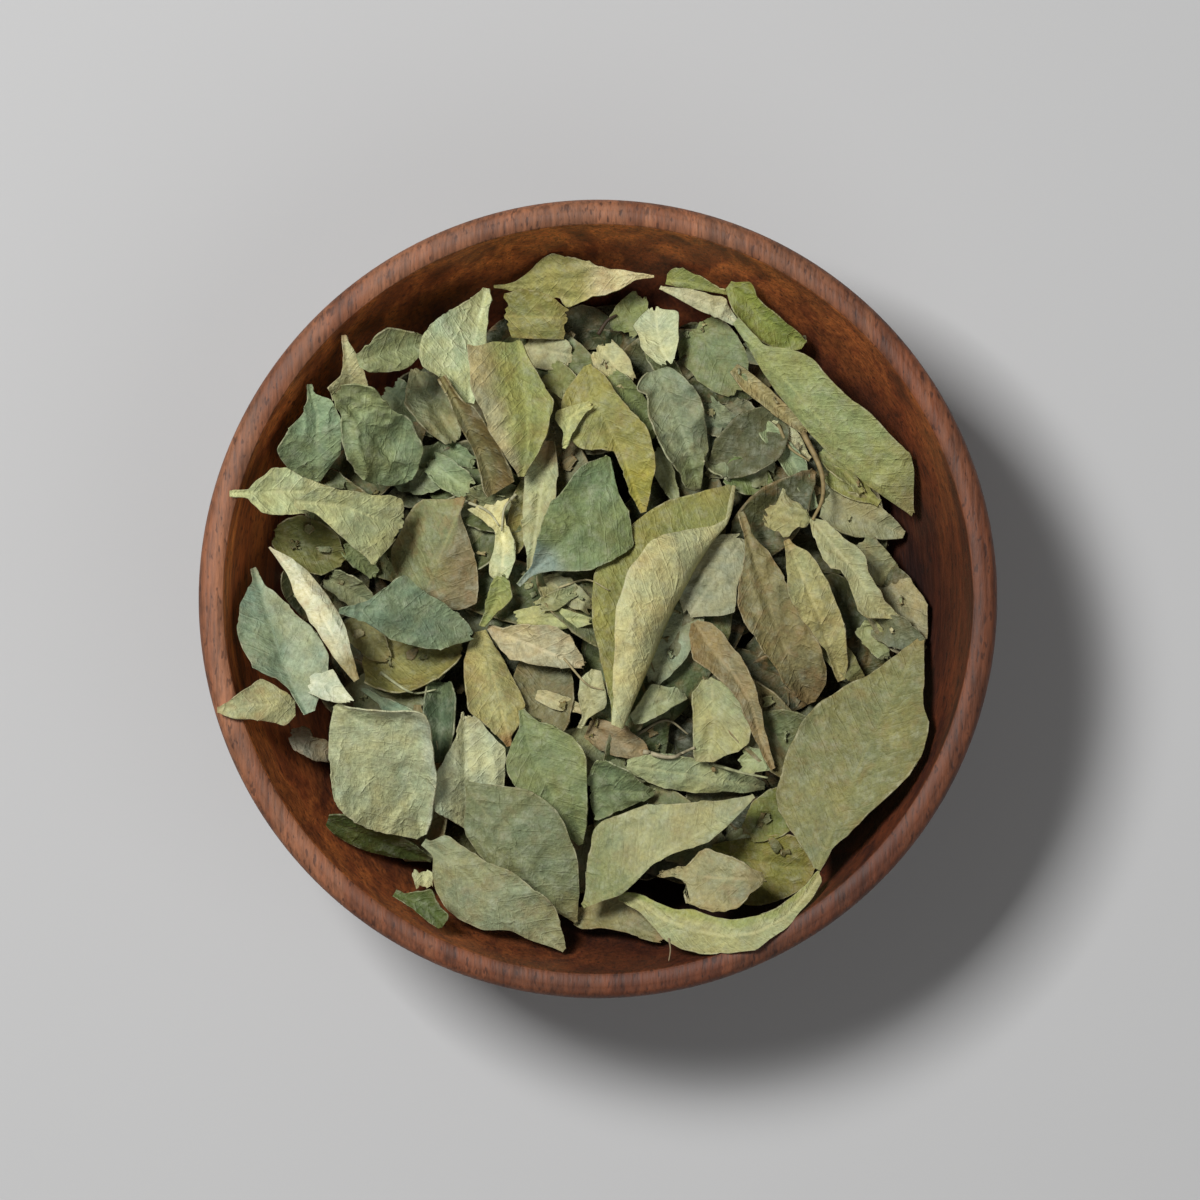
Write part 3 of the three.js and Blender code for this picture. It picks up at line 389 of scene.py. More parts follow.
# Left margin, right margin and midrib of the leaves whose outline isn't regular: pairs of tenths of the
# length and millimetres to the left of the straight line from base to tip.
MARGINS = {
    "s7b": (
        (0, .5, 1, 1.5, 3, 3, 5, 4.2, 7, 5, 8.5, 4.5, 9.5, 3, 10, .5),
        (0, -1, 1, -4, 2.5, -7.5, 4, -8.7, 5.5, -8.3, 7, -7, 8.5, -5, 9.5, -3, 10, -.5),
        (0, 0, 3, -1, 7, -1, 10, 0)),
    "w22": (
        (0, .2, 1, .2, 3, 0, 4, .35, 6, .4, 8, .2, 10, 0),
        (0, -.3, 2, -.7, 3, -1, 4, -2.1, 5, -2.8, 6, -3.2, 7, -2.5, 8, -1.4, 9, -.4, 10, -.1),
        (0, 0, 5, -.8, 10, 0)),
    "se1": (
        (0, .5, .5, 3.5, 1, 7.3, 1.5, 10.5, 2, 11.8, 3, 13, 4, 13.4, 5, 13, 6, 11.8, 7, 8.9, 8, 5.4, 9,
         2.9, 10, .4),
        (0, -.3, 1, -.8, 2, -2.5, 3, -4, 4, -5.9, 5, -7.5, 6, -8, 7, -7.3, 7.5, -5.4, 8, -4, 9, -2.5, 10,
         -.3),
        (0, .2, 3, .8, 6, 1, 10, 0)),
    "c1": (
        (0, .8, .7, 2.7, 2, 7.7, 3.1, 11.7, 4, 13.7, 4.8, 15.2, 6.4, 13.6, 7.1, 12.7, 7.8, 11, 8.5, 8.7,
         9, 5.7, 9.5, 3.2, 10, .3),
        (0, .8, 1, 2.7, 2, 5, 3, 7, 4, 9, 5.4, 9.8, 6.7, 8.7, 7.2, 6.7, 8.2, 0, 8.7, -1.7, 10, -.1),
        (0, -.6, 2.5, -.3, 4, .1, 5.4, .1, 6.8, -.3, 8, -1.2, 8.7, -1.9, 9.4, -1.3, 10, -.3)),
    "c2": (
        (0, -1.8, .4, 0, 1, 1.9, 1.6, 4.2, 2.1, 7.6, 2.6, 8.9, 3.4, 11.6, 4.5, 10.7, 5.5, 9.4, 6.5, 7.8,
         7.1, 5.6, 7.9, 3.1, 8.4, 1.8, 9, .7, 10, .2),
        (0, -2.2, 1, -3.9, 2, -4.6, 3, -4.4, 4, -4.3, 4.5, -4.8, 5, -4.6, 6, -3.5, 7, -2.5, 8, -1.2, 8.5,
         -.4, 10, -.2),
        (0, -2, 1, .8, 2, 1.8, 5, 1.5, 7, .8, 10, 0)),
    "s6": (
        (0, .3, .6, 2.1, 1.2, 5.3, 1.9, 7.9, 2.4, 10, 3, 10.8, 4, 9.9, 4.7, 9.6, 5.4, 9, 6.2, 7.1, 7.3, 5,
         8.35, 2.9, 9.4, 1.1, 10, .2),
        (0, -.3, 1, -1, 1.9, -2, 3, -1.4, 3.5, -.6, 4.5, -.4, 5.3, -.7, 6, -1.6, 6.8, -2.4, 8, -2, 9,
         -1.2, 10, -.2),
        (0, 0, 2, -.8, 4, .3, 6, 0, 8, -.5, 10, 0)),
    "s3": (
        (0, .2, .6, 1.7, 1, 3.1, 1.7, 5.2, 2.4, 7.1, 3.2, 8.6, 4.3, 9.5, 5.3, 9.1, 6.2, 8.1, 7.3, 6.9,
         8.2, 4.7, 9, 2.8, 10, -.3),
        (0, -.3, .6, -1.4, 1.2, -3.1, 1.8, -5, 2.4, -6.2, 3.5, -6.5, 5, -6, 7, -4.5, 8.5, -2.5, 10, -.7),
        (0, 0, 1, -.5, 2.4, -.9, 5, -.5, 10, -.5)),
    "sw6": (
        (0, .8, .4, 1.4, .6, 3.3, 1, 3.9, 2, 4.1, 3, 4.2, 3.8, 4.5, 4.6, 5.4, 5.5, 5.8, 6.5, 5.4, 7.6,
         5.6, 8.2, 5, 8.9, 3.5, 9.6, 1.9, 10, .3),
        (0, -.5, .9, -.7, 1.2, -2.3, 1.6, -4, 2.3, -5.6, 3.2, -6.8, 4.2, -6.8, 5.2, -6.3, 5.8, -5.6, 6.4,
         -4, 7, -3, 8, -2.3, 9, -1.2, 10, -.3),
        (0, .2, 2, .5, 4.5, -.2, 10, 0)),
    "s2": (
        (0, .3, .6, 1, 1.2, 1.7, 1.7, 3.4, 2.4, 5, 3.2, 6.4, 4, 6.9, 4.8, 6.7, 5.8, 5.8, 6.7, 4.8, 7.6,
         3.8, 8.2, 3, 9, 2, 10, .2),
        (0, -.3, 1, -1.3, 1.6, -3.2, 2.2, -5, 2.7, -6.2, 3.5, -6.9, 5, -6.2, 7, -4, 9, -1.5, 10, -.3),
        (0, 0, 2, -1.2, 4, -1.5, 6, -1, 8, -.5, 10, 0)),
    "sw1": (
        (0, .7, .7, 2.9, 1.5, 5.1, 2.3, 7, 3.4, 8.5, 4.4, 9.3, 5.2, 8.7, 6.5, 7, 7.6, 5.5, 8.5, 4, 9.3,
         2.2, 10, .2),
        (0, -.7, .6, -2.9, 1.5, -4.8, 2.6, -7.7, 3.6, -9.2, 4.7, -10.3, 5.7, -11.8, 6.5, -12, 7, -10.7,
         7.6, -7.7, 8.6, -4, 9.3, -1.5, 10, -.3),
        (0, -.2, 1, -1.5, 2, -2.6, 4, -4, 5.5, -4.6, 7, -4.4, 8.5, -1.5, 10, 0)),
    "e1": (
        (0, 1, 1.4, .8, 2, 3, 2.5, 4.6, 3.2, 5.3, 4.2, 4.8, 5, 5, 6, 6, 7, 6.1, 8.3, 6.2, 8.8, 5, 9.3,
         2.3, 9.8, .2, 10, -.4),
        (0, -.6, 1, -1.5, 2, -2.6, 3, -3.4, 4, -3.8, 5, -4.1, 6, -4, 7, -3.6, 8, -3, 9, -2, 10, -1),
        (0, 0, 2, -.5, 5, -1, 8, -1.2, 10, -.7)),
    "s7": (
        (0, .5, .7, .1, 1.2, -.5, 2, -2.1, 2.8, -3.5, 3.6, -4, 4.5, -5.3, 5.4, -6.2, 6.6, -6.2, 7.6, -5.4,
         8.6, -3.5, 9.4, -1.6, 10, .5),
        (0, -.6, 1, -3.2, 2, -8.2, 2.8, -10.2, 3.7, -11.2, 5, -11.8, 6.4, -11.8, 7.2, -10.2, 8, -8.9, 8.8,
         -6.2, 9.4, -4, 10, -1.2),
        (0, 0, 1, -1.5, 2, -4.8, 3.5, -7.5, 5, -9, 6.5, -9, 8, -7, 9, -4.2, 10, -.4)),
    "n4": (
        (0, 2.2, 1.4, 3.1, 2.6, 4.6, 3.6, 5.8, 4.7, 7, 5.5, 6.7, 6.4, 5.8, 7.2, 5, 8.4, 3.3, 9.3, 1.5, 10,
         .2),
        (0, -7.1, 2, -7.1, 3.5, -7, 4.7, -6, 5.5, -5.2, 6.5, -4.8, 7.4, -3.8, 8.4, -2.5, 9.3, -1.2, 10,
         -.3),
        (0, 1.8, 3, 2, 6, 2.1, 8, 1.5, 10, 0)),
    "w6": (
        (0, .4, .3, 1.6, .7, 3, 1.3, 4.2, 1.9, 6, 2.4, 8.2, 3, 9.4, 4, 9.8, 5, 9.6, 6.3, 8.1, 7.2, 6.5,
         8.1, 3.7, 8.8, 2.3, 10, .2),
        (0, -1, 1.5, -1.6, 4, -2.2, 6, -1.4, 7.9, -1.1, 9, -1.3, 10, -.3),
        (0, -.3, 3, .5, 5, .8, 7, .5, 10, 0)),
    "w2": (
        (0, .2, .2, 1.8, 1, 3.6, 1.8, 5.5, 2.8, 6.1, 4, 5.8, 5, 5.6, 6, 4.5, 7.2, 2.8, 8, 1.9, 9, 1.7,
         9.8, 1.4, 10, .6),
        (0, -1, .5, -3.6, 1.4, -5.7, 2.8, -6.6, 4.1, -6.9, 5.6, -5.9, 7, -5.2, 8.1, -5, 9.1, -3.2, 9.8,
         -1.1, 10, -.3),
        (0, -.4, 3, -.6, 7, -.6, 10, .2)),
    "w13": (
        (0, .8, 2, 2, 2.8, 2.8, 3.4, 4.3, 4.1, 6.3, 5.5, 6.8, 6.8, 6.2, 7.9, 4.5, 8.8, 2.5, 9.2, .7, 10,
         .25),
        (0, -1, 1, -3.5, 2, -5.8, 3, -6.8, 4.1, -6.3, 5.2, -5.5, 6.5, -3.8, 7.5, -2.8, 8.2, -1.8, 8.7,
         -.8, 10, -.25),
        (0, .4, 2, 1.1, 4, 1, 6, .6, 8, .2, 10, 0)),
    "w10": (
        (0, 1.5, 1.2, 3.1, 2.1, 4.4, 3.2, 4.6, 4.4, 4.6, 6, 5, 8, 5.4, 9.5, 5.4, 10, 3),
        (0, .5, .6, -.4, 1.2, -.1, 2, -.2, 2.6, -.8, 3.8, -2.3, 5.2, -3.8, 6.2, -5, 7.4, -6.2, 8.3, -7.3,
         8.7, -5.2, 9.3, -3, 10, -.5),
        (0, 1.1, 4, 2.1, 8, 1.2, 10, 1)),
    "w9": (
        (0, .35, 1.6, .4, 1.8, .7, 2.2, 1.6, 3, 2.8, 3.9, 4.1, 5.2, 4.3, 6, 3.6, 7.1, 2.4, 8.5, 1.5, 10,
         .5),
        (0, -.35, 1.6, -.6, 2.2, -2, 3, -3.4, 3.9, -3.9, 5.2, -4, 6.2, -4, 7.3, -3.4, 8.5, -2.5, 10, -1),
        (0, 0, 10, 0)),
    "e8": (
        (0, .5, .5, 2.5, 1.4, 3.5, 3, 4.3, 5, 4, 7, 2.6, 9, .9, 10, .2),
        (0, -.5, .5, -1.8, 1.9, -3.2, 2.6, -2.2, 3.4, -1.3, 4.4, -.2, 5.6, .5, 6.6, 0, 8, -.3, 10, -.3),
        (0, 0, 2, .5, 4, 1.8, 6, 1.9, 8, .5, 10, 0)),
    "e7": (
        (0, .3, 1.4, .8, 2.2, 2.2, 3.2, 2.8, 4.7, 3.4, 6.2, 4, 7.3, 4.8, 8.6, 4.8, 9.4, 3.4, 10, .5),
        (0, -.3, .6, -.5, 1.8, -1.6, 2.6, -3, 3.4, -5, 4.1, -6, 5.4, -6.3, 6.1, -5.2, 7, -4.5, 8.4, -3.4,
         9.5, -2.1, 10, -.5),
        (0, 0, 3, -.8, 6, -1.2, 8, -1, 10, 0)),
    "w1": (
        (0, .4, .7, 1, 1.3, 3.2, 2.4, 4.8, 3.2, 5.3, 4.3, 4.3, 5.5, 3.2, 6.8, 1.4, 8.4, .1, 8.9, .1, 10,
         .25),
        (0, -1.8, 1.1, -3.2, 2.5, -5.1, 3, -5.8, 4.8, -5.8, 6.4, -5.6, 7.5, -4.7, 8.6, -3.6, 8.9, -1.8,
         9.1, -.6, 10, -.25),
        (0, -1, 4, -1.4, 7, -1.4, 8.9, -.3, 10, 0)),
    "w17": (
        (0, .2, 1, 1.6, 2, 2.9, 2.7, 5, 3.5, 7.5, 4.2, 8.6, 5.2, 7, 6.1, 5.7, 7.5, 4.8, 8.6, 3.2, 9.5,
         1.8, 10, .2),
        (0, -.6, .9, -.9, 2, -1.4, 2.9, -2.3, 3.9, -3.2, 5.4, -3.6, 6.5, -3.9, 7.6, -3.4, 8.8, -2, 9.7,
         -.9, 10, -.3),
        (0, -.1, 3, 1.8, 6, 2.3, 8, 1.3, 10, 0)),
    "w18": (
        (0, 5.9, 1, 6.3, 2, 8, 3, 8.6, 4.5, 8.4, 6, 8.2, 7.5, 7.8, 8.3, 6.8, 8.8, 4.5, 9.3, 2, 10, .3),
        (0, -6, .5, -7.5, 1.4, -9.3, 2.5, -8.7, 3.1, -8.1, 4.8, -6.4, 6.4, -4, 7.6, -1.9, 8.4, -.6, 10,
         -.3),
        (0, 0, 10, 0)),
    "n6": (
        (0, .4, .8, 1.9, 1.9, 2.6, 3, 3.4, 3.9, 4.5, 4.9, 5.8, 5.8, 6, 6.8, 5.6, 7.8, 4.5, 8.7, 3, 9.5,
         1.5, 10, .3),
        (0, -.5, .8, -3.9, 1.3, -6, 2.1, -7.2, 3.5, -7.6, 4.8, -6.5, 5.3, -3, 5.6, -.8, 6.4, -.5, 7.5,
         -.9, 8.5, -1, 10, -.3),
        (0, 0, 3, -.6, 6, .2, 10, 0)),
    "n15": (
        (0, 2.6, .3, 3.3, 1.6, 4.5, 2.8, 5.6, 4.5, 5.7, 5.8, 5.3, 7.3, 4.1, 8.6, 2, 9.7, .8, 10, .3),
        (0, -1, .4, -3, .9, -4, 1.4, -2.8, 2, -2.6, 3, -3.5, 5.2, -3.5, 6.6, -3, 8.2, -2, 9.4, -2.2, 10,
         -.5),
        (0, .6, 3, .8, 6, .8, 10, 0)),
    "n1": (
        (0, .2, 1.2, .4, 1.7, 1.1, 2.6, 2.2, 3.2, 2.8, 4, 2.8, 4.7, 3.9, 5.5, 4.3, 5.9, 2.6, 6.5, 2.5,
         7.9, 1.7, 9.1, 1.1, 10, .4),
        (0, -.4, .3, -.6, 1.7, -1.7, 2.7, -1.9, 3.8, -2.8, 5, -3.9, 6.2, -5, 7, -4.3, 7.9, -2.2, 8.7, -.7,
         9.3, -.3, 10, -.2),
        (0, 0, 5, -.4, 8, .2, 10, .1)),
    "s8": (
        (0, .2, .8, 1.4, 1.8, 2.8, 2.8, 5, 4, 6, 4.9, 6.3, 6, 5.6, 7.1, 4.8, 7.3, 1.5, 7.8, .3, 8.6, 0,
         9.4, .5, 10, .3),
        (0, -.3, .8, -1.4, 2, -2.4, 2.8, -3.4, 4, -4.4, 5.2, -5, 5.8, -4.8, 6.6, -2.8, 7.2, -1.6, 8.4,
         -1.5, 9.2, -.8, 10, -.3),
        (0, 0, 5, 0, 8.3, -.7, 10, 0)),
    "e6": (
        (0, .4, 2.1, .6, 3, 1.2, 3.9, 2, 5, 2.9, 6, 3, 6.9, 2.9, 8.2, 2, 8.9, 1.2, 10, .2),
        (0, -.5, 1, -2.2, 2.1, -2.9, 3.2, -3.7, 4.1, -4.1, 5.4, -4.1, 6.8, -3.7, 8, -3.5, 8.9, -2.5, 9.5,
         -.9, 10, -.2),
        (0, 0, 5, -.4, 10, 0)),
    "e5": (
        (0, .2, .7, 1.7, 1.4, 2, 2.5, 2.2, 3.8, 2.6, 4.7, 2.7, 5.2, 2, 5.4, 1.3, 6.4, .9, 7.5, .4, 8.2,
         -.1, 9, 0, 10, .2),
        (0, -.3, .4, -.9, 1, -1.9, 1.7, -2.6, 2.8, -3.2, 3.8, -3.5, 4.1, -2.1, 4.8, -2.2, 5.6, -3, 6.4,
         -3.7, 7.3, -4.3, 8.2, -4.3, 8.9, -2.6, 9.6, -.7, 10, -.2),
        (0, 0, 3, -.3, 5, -.4, 8, -2, 10, 0)),
    "s1": (
        (0, .6, .9, 3.1, 1.6, 5.5, 3.2, 5.7, 4.7, 5.2, 6.2, 3.6, 7.8, 1.8, 9.6, .5, 10, .2),
        (0, -2, 1.5, -5, 3, -6.3, 5, -7, 6.8, -7, 8, -4.9, 9.3, -2.6, 10, -.7),
        (0, 0, 10, 0)),
    "c16": (
        (0, 2.5, 1.5, 4.5, 2.5, 5.5, 4.2, 6.6, 6, 6.8, 7.7, 6.6, 8.8, 4.7, 9.4, 2, 10, .3),
        (0, -1.5, 1.3, -2.4, 1.8, -3.1, 5.7, -2.9, 9.5, -2.9, 10, -2.6),
        (0, 0, 5, .6, 10, -.6)),
    "c8": (
        (0, .2, 1.4, .4, 2.4, 2, 3.7, 3.1, 5, 4.1, 6, 5, 7.5, 4.1, 8.6, 2.9, 9.5, 1.6, 10, .3),
        (0, -.4, .5, -1.2, 1.8, -2.7, 3.1, -3.7, 4.1, -3.3, 5.6, -3.1, 7.8, -2.1, 9.3, -.8, 10, -.3),
        (0, 0, 10, 0)),
    "w12": (
        (0, .3, 2, 1, 4, 1, 4.6, 1.4, 5.5, .8, 6.5, .8, 8, .1, 9, .1, 10, .2),
        (0, -1, 1, -1.9, 1.8, -2.5, 3, -3.8, 4, -4.2, 5.5, -4.3, 6.5, -4, 7.5, -3.7, 8.5, -2.6, 9.3, -1.4,
         10, -.2),
        (0, -.3, 5, -1.5, 8, -1.2, 10, 0)),
    "w7": (
        (0, .3, 2, .4, 3, 1, 3.3, 1.8, 5, 2, 7, 2, 9, 1.8, 10, 1),
        (0, -.3, 1.5, -.5, 3, -1.2, 5, -1.5, 7, -2, 8.5, -3, 9.5, -3.9, 10, -3.8),
        (0, 0, 3, -.2, 5, -.7, 8, -1.4, 10, -2.8)),
    "w5": (
        (0, 1, .5, 2, 1.5, 2.9, 3, 3.5, 5.5, 4, 7, 4.3, 8, 3.5, 9, 1.6, 10, .3),
        (0, -.5, .6, -1.4, 2, -2.3, 4, -3.1, 6, -3.5, 8, -2.7, 9.4, -.8, 10, -.3),
        (0, 0, 10, 0)),
    "w3": (
        (0, 3.5, 1.5, 3.6, 2.2, 3.9, 3, 2.8, 3.7, 1.4, 5, .9, 7, .45, 9, .25, 10, .15),
        (0, -2.8, 4, -2.7, 6, -2.2, 8, -1.3, 9, -.6, 10, -.15),
        (0, 0, 10, 0)),
    "w4": (
        (0, 1.8, 1, 2, 2, 2.5, 3, 3.2, 4, 3.7, 5.5, 4.4, 6.5, 3.7, 7.5, 2.9, 8.5, 2.2, 10, 2.2),
        (0, -.5, 1, -1.7, 2, -2.4, 3, -2.7, 5, -3.2, 7, -3, 8, -2, 10, -2),
        (0, .4, 5, .4, 10, 0)),
    "w14": (
        (0, 1.4, .8, 2.7, 1.5, 3.4, 2.5, 3, 4, 2.5, 5, 2, 6.5, 1.8, 8, 1.6, 9, 1.2, 10, .6),
        (0, -1, 1, -2.5, 2, -3.2, 3, -4.3, 4, -5, 4.6, -4.9, 5.4, -3.9, 6.5, -2.9, 8, -1.6, 9, -.9, 10, 0),
        (0, 0, 5, -.6, 10, .3)),
    "c7": (
        (0, .7, 1.5, 1.7, 2.5, 2.5, 4, 3.2, 5.5, 4, 7, 4.5, 7.5, 3.7, 8.5, 2.5, 9.2, .8, 10, .3),
        (0, -1.2, 1, -3, 2, -4.2, 3, -4.6, 5, -5, 6.3, -5.5, 7, -4.5, 8, -2.7, 9, -1.5, 10, -.3),
        (0, 0, 10, 0)),
    "c3": (
        (0, .5, 1.5, 1.8, 2.5, 2.2, 5, 2.2, 7, 1.6, 10, .3),
        (0, -1.6, 1, -3, 2, -3.5, 4, -3.4, 6.5, -2.6, 7.7, -2.2, 8.5, -1.4, 9.3, -.7, 10, -.3),
        (0, -.4, 10, 0)),
    "c14": (
        (0, .5, .5, 1.7, 1, 2.6, 2, 3.4, 4, 3.6, 5, 4.4, 7, 6.4, 8, 4.9, 8.8, 3, 10, .5),
        (0, -1.1, .6, -2.4, 1.2, -3.6, 2, -4.2, 8, -3.9, 9, -3, 10, -1),
        (0, 0, 10, 0)),
    "n2": (
        (0, 4.6, 3, 5.2, 5, 5, 7, 4.6, 8, 3.7, 9, 2.6, 10, 2),
        (0, -1, .8, -1.5, 1.3, -3.2, 5, -3.5, 9.3, -3.6, 10, -3.4),
        (0, .6, 10, .4)),
    "c15": (
        (0, .9, 2, 2, 3.5, 3, 4.5, 3.6, 5.3, 4.3, 7, 3.6, 8, 2.9, 9, 2.6, 9.5, 1.2, 10, .3),
        (0, -.6, 1, -1.1, 2, -1.2, 4, -1.1, 6, -.9, 8, -.7, 10, -.2),
        (0, 0, 5, .8, 10, 0)),
    "e4": (
        (0, .2, .7, .4, 1.4, 1.2, 3, 1.4, 4.2, 2.2, 5, 3.2, 6.2, 3.3, 7, 2.5, 8, 2.5, 9.2, 2, 9.8, .8, 10,
         0),
        (0, -.2, 1, -.7, 2, -1.9, 3, -2.6, 4.4, -3.3, 5.5, -4, 6.2, -5.4, 6.9, -5.2, 7.4, -4, 8, -2.7, 9,
         -2.5, 10, -2.4),
        (0, 0, 5, -.2, 10, -1)),
    "ne1": (
        (0, .7, .3, .9, .9, 1.7, 1.7, 2.5, 2.2, 2.2, 3, 1.2, 4, .8, 5, .6, 6, .6, 8, .8, 9, .5, 10, .2),
        (0, -.7, 1, -2.1, 2, -2.8, 3, -3.4, 4, -4, 5, -4.2, 6.5, -4.3, 8, -3.8, 9, -3, 10, -1),
        (0, 0, 2, .2, 4, -1, 8, -.8, 10, -.2)),
    "n9": (
        (0, .2, 1, .9, 2, 1.7, 3, 2.3, 4, 2.8, 5, 3.2, 6, 3.9, 6.6, 3.9, 7.2, 3, 8, 2.2, 9, 1.5, 10, .9),
        (0, -.6, 3, -.5, 5, -.3, 7, 0, 10, .3),
        (0, -.2, 5, 1.4, 7, 1.5, 10, .6)),
    "n8": (
        (0, .8, .5, 1.8, 1.2, 2.4, 2, 2.6, 3, 2.3, 4, 1.9, 5, 1.8, 6, 1.3, 7, .8, 8, .3, 10, .15),
        (0, -.8, 2, -1, 3, -.8, 8, -.5, 10, -.2),
        (0, 0, 3, .5, 10, 0)),
    "n10": (
        (0, -.5, .5, .3, 1, 1, 2, 1.7, 3, 2.3, 4, 2.9, 6, 2.9, 7.5, 3.5, 8.2, 2.4, 9, 1.2, 10, -.6),
        (0, -2, 1.5, -2.5, 3, -3.4, 5, -4, 8, -4.7, 8.5, -3.7, 9.1, -2, 10, -1.6),
        (0, -1.2, 3, -.4, 6, -.5, 8, -.8, 10, -1.1)),
    "n7": (
        (0, .2, 1.5, .5, 3, .9, 4, 1.7, 5, 2.8, 7, 2.8, 7.6, 1.7, 8.3, .7, 9.3, -1, 10, -2.4),
        (0, -.2, 2, -.5, 4, -1.2, 6, -1.8, 8, -2.7, 9.5, -3.5, 10, -3.9),
        (0, 0, 4, .1, 6, .3, 8, -1.2, 10, -3.1)),
    "s4": (
        (0, 3.6, .8, 5.6, 1.5, 6.8, 2.3, 7.2, 3.3, 6.8, 4.3, 5.8, 5.5, 5, 7, 3.6, 8, 2, 9.3, 1, 10, .2),
        (0, -2.6, .5, -3.2, 1.5, -3, 2.5, -2.6, 4, -2.2, 6, -1.8, 7.5, -1.4, 8.5, -1, 10, -.2),
        (0, 1, 3, 1.6, 6, .8, 10, 0)),
    "s9": (
        (0, 1.2, 1, 2, 2, 3, 3, 4.3, 4, 5.3, 4.7, 5.7, 5.5, 5, 6.5, 4, 8, 2.6, 9, 1.4, 10, .4),
        (0, -1.6, 1, -1.8, 2, -1.2, 3, -.6, 4, -.4, 6, -.2, 7.5, -.5, 9, -.6, 10, -.2),
        (0, 0, 5, 1.4, 10, .1)),
    "sw5": (
        (0, .35, 1.7, .4, 2.2, 1.2, 3, 2, 4, 2.7, 5, 3.8, 5.6, 3.5, 6.5, 2.8, 8, 1.9, 9.7, 1.7, 10, .5),
        (0, -.4, 2, -.3, 4, -.4, 6, -.7, 8, -1, 9.5, -1, 10, -.5),
        (0, 0, 5, .8, 10, 0)),
    "sw2": (
        (0, 1.3, 1, 1.7, 2, 2.3, 3, 2.3, 3.7, 1.9, 4.7, 1.1, 6, 1.4, 7, 1.7, 8, 1.4, 10, .4),
        (0, -.3, 1, -1.3, 2, -1.9, 3.3, -2.3, 5, -2.4, 7, -2.6, 9, -2.2, 10, -1.4),
        (0, .4, 4, -.2, 10, -.4)),
    "w15": (
        (0, 1.4, 1.6, 2, 2.4, 2.8, 3.3, 3.6, 4.3, 3.2, 6, 2.2, 8, 1.3, 10, .5),
        (0, -2.4, 1, -2.2, 3, -2, 5, -1.7, 7, -1.3, 9, -.6, 10, -.2),
        (0, -.3, 4, .6, 10, .1)),
    "c11": (
        (0, .25, 1.8, -.3, 2.2, -.2, 3.2, .3, 4.2, .8, 5.5, 1.4, 7, 1.8, 8, 2, 9, 1.2, 9.6, .4, 10, 0),
        (0, -.25, 1.8, -.8, 2.5, -1.8, 3.2, -2.7, 4, -3.6, 5, -3.8, 6.5, -3.4, 8, -2.7, 10, -1.6),
        (0, 0, 1.8, -.55, 4, -1, 7, -.6, 10, -.6)),
    "c4": (
        (0, 1.3, .6, 2, 1.4, 1.85, 2.5, 1.5, 3.5, .9, 4.5, .4, 5.3, -.1, 6, -.2, 6.8, .7, 7.8, 2, 9, 3.5,
         10, 4.7),
        (0, -1.1, 1, -2, 2, -2.6, 4, -2.9, 6, -2.5, 8, -2.1, 9, -2.6, 9.6, -3.5, 10, -4.8),
        (0, 0, 2, -.5, 4, -1.2, 6, -1.3, 8, 0, 10, .2)),
    "c4b": (
        (0, 2, .5, 2.9, 1, 3.5, 3, 4.2, 3.7, 4.4, 4.5, 3.9, 5.5, 3.3, 7.5, 1.8, 9, .8, 10, .2),
        (0, 1.2, 1, .7, 2, .3, 4, .1, 7, .1, 10, -.3),
        (0, 1.6, 2, 2, 4, 2.1, 6, 1.5, 8, .7, 10, 0)),
    "w11": (
        (0, 1, .5, 2.2, 1.3, 3.6, 2.5, 4.8, 4, 5.2, 5.5, 5, 7, 4.6, 8, 4, 9, 2.5, 10, 1),
        (0, -.8, 1, -2, 3, -3.2, 6, -3.6, 8, -3, 9, -1, 10, 0),
        (0, 0, 5, .6, 10, .4)),
}


def outline(u):
    """Half width of a leaflet at u of its length: u^0.55 (1-u)^0.85 over its peak, which is at 0.393."""
    u = np.clip(u, 0, 1)
    return u ** 0.55 * (1 - u) ** 0.85 / (0.393 ** 0.55 * 0.607 ** 0.85)


def half_section(a0, a1, s):
    """Sideways and upward run at share s of a half blade whose angle goes evenly from a0 to a1 degrees:
    the integrals of cos and sin of a0 + (a1 - a0) s.
    """
    start, turn = math.radians(a0), math.radians(a1 - a0)
    if abs(turn) < 1e-6:
        return s * math.cos(start), s * math.sin(start)
    end = start + turn * s
    return (np.sin(end) - math.sin(start)) / turn, (math.cos(start) - np.cos(end)) / turn


def value_noise(x, y, seed):
    """Smooth noise from -1 to 1: random values at whole numbers, eased by 3t^2 - 2t^3 between them."""
    grid = np.random.RandomState(seed % 100000).uniform(-1, 1, (NOISE_GRID, NOISE_GRID))
    i, j = np.floor(x).astype(int), np.floor(y).astype(int)
    fx, fy = x - i, y - j
    fx, fy = fx * fx * (3 - 2 * fx), fy * fy * (3 - 2 * fy)
    i, j = i % NOISE_GRID, j % NOISE_GRID
    i1, j1 = (i + 1) % NOISE_GRID, (j + 1) % NOISE_GRID
    return ((grid[i, j] * (1 - fx) + grid[i1, j] * fx) * (1 - fy)
            + (grid[i, j1] * (1 - fx) + grid[i1, j1] * fx) * fy)


def puckers(along, across, size, seed):
    """Height of the dried surface at millimetres along and across: broad waves, creases and fine puckers."""
    wave = value_noise(along / 8, across / 6, seed)
    crease = 0.5 - np.abs(value_noise(along / 4.2 + wave, across / 3.4, seed + 1))
    fine = 0.5 - np.abs(value_noise(along / 1.9 + wave, across / 1.6, seed + 2))
    return size * (1.3 * wave + 1.4 * crease + 0.4 * fine)


def side_veins(along, across, width):
    """Height of the side veins: shallow ridges exp(-(d / 0.28)^2) that leave the midrib and run forward."""
    phase = (along - 0.9 * np.abs(across)) / VEIN_SPACING
    ridge = np.exp(-((phase - np.round(phase)) * VEIN_SPACING / 0.28) ** 2)
    return 0.07 * ridge * np.clip(1 - np.abs(across) / np.maximum(width, 0.1), 0, 1)


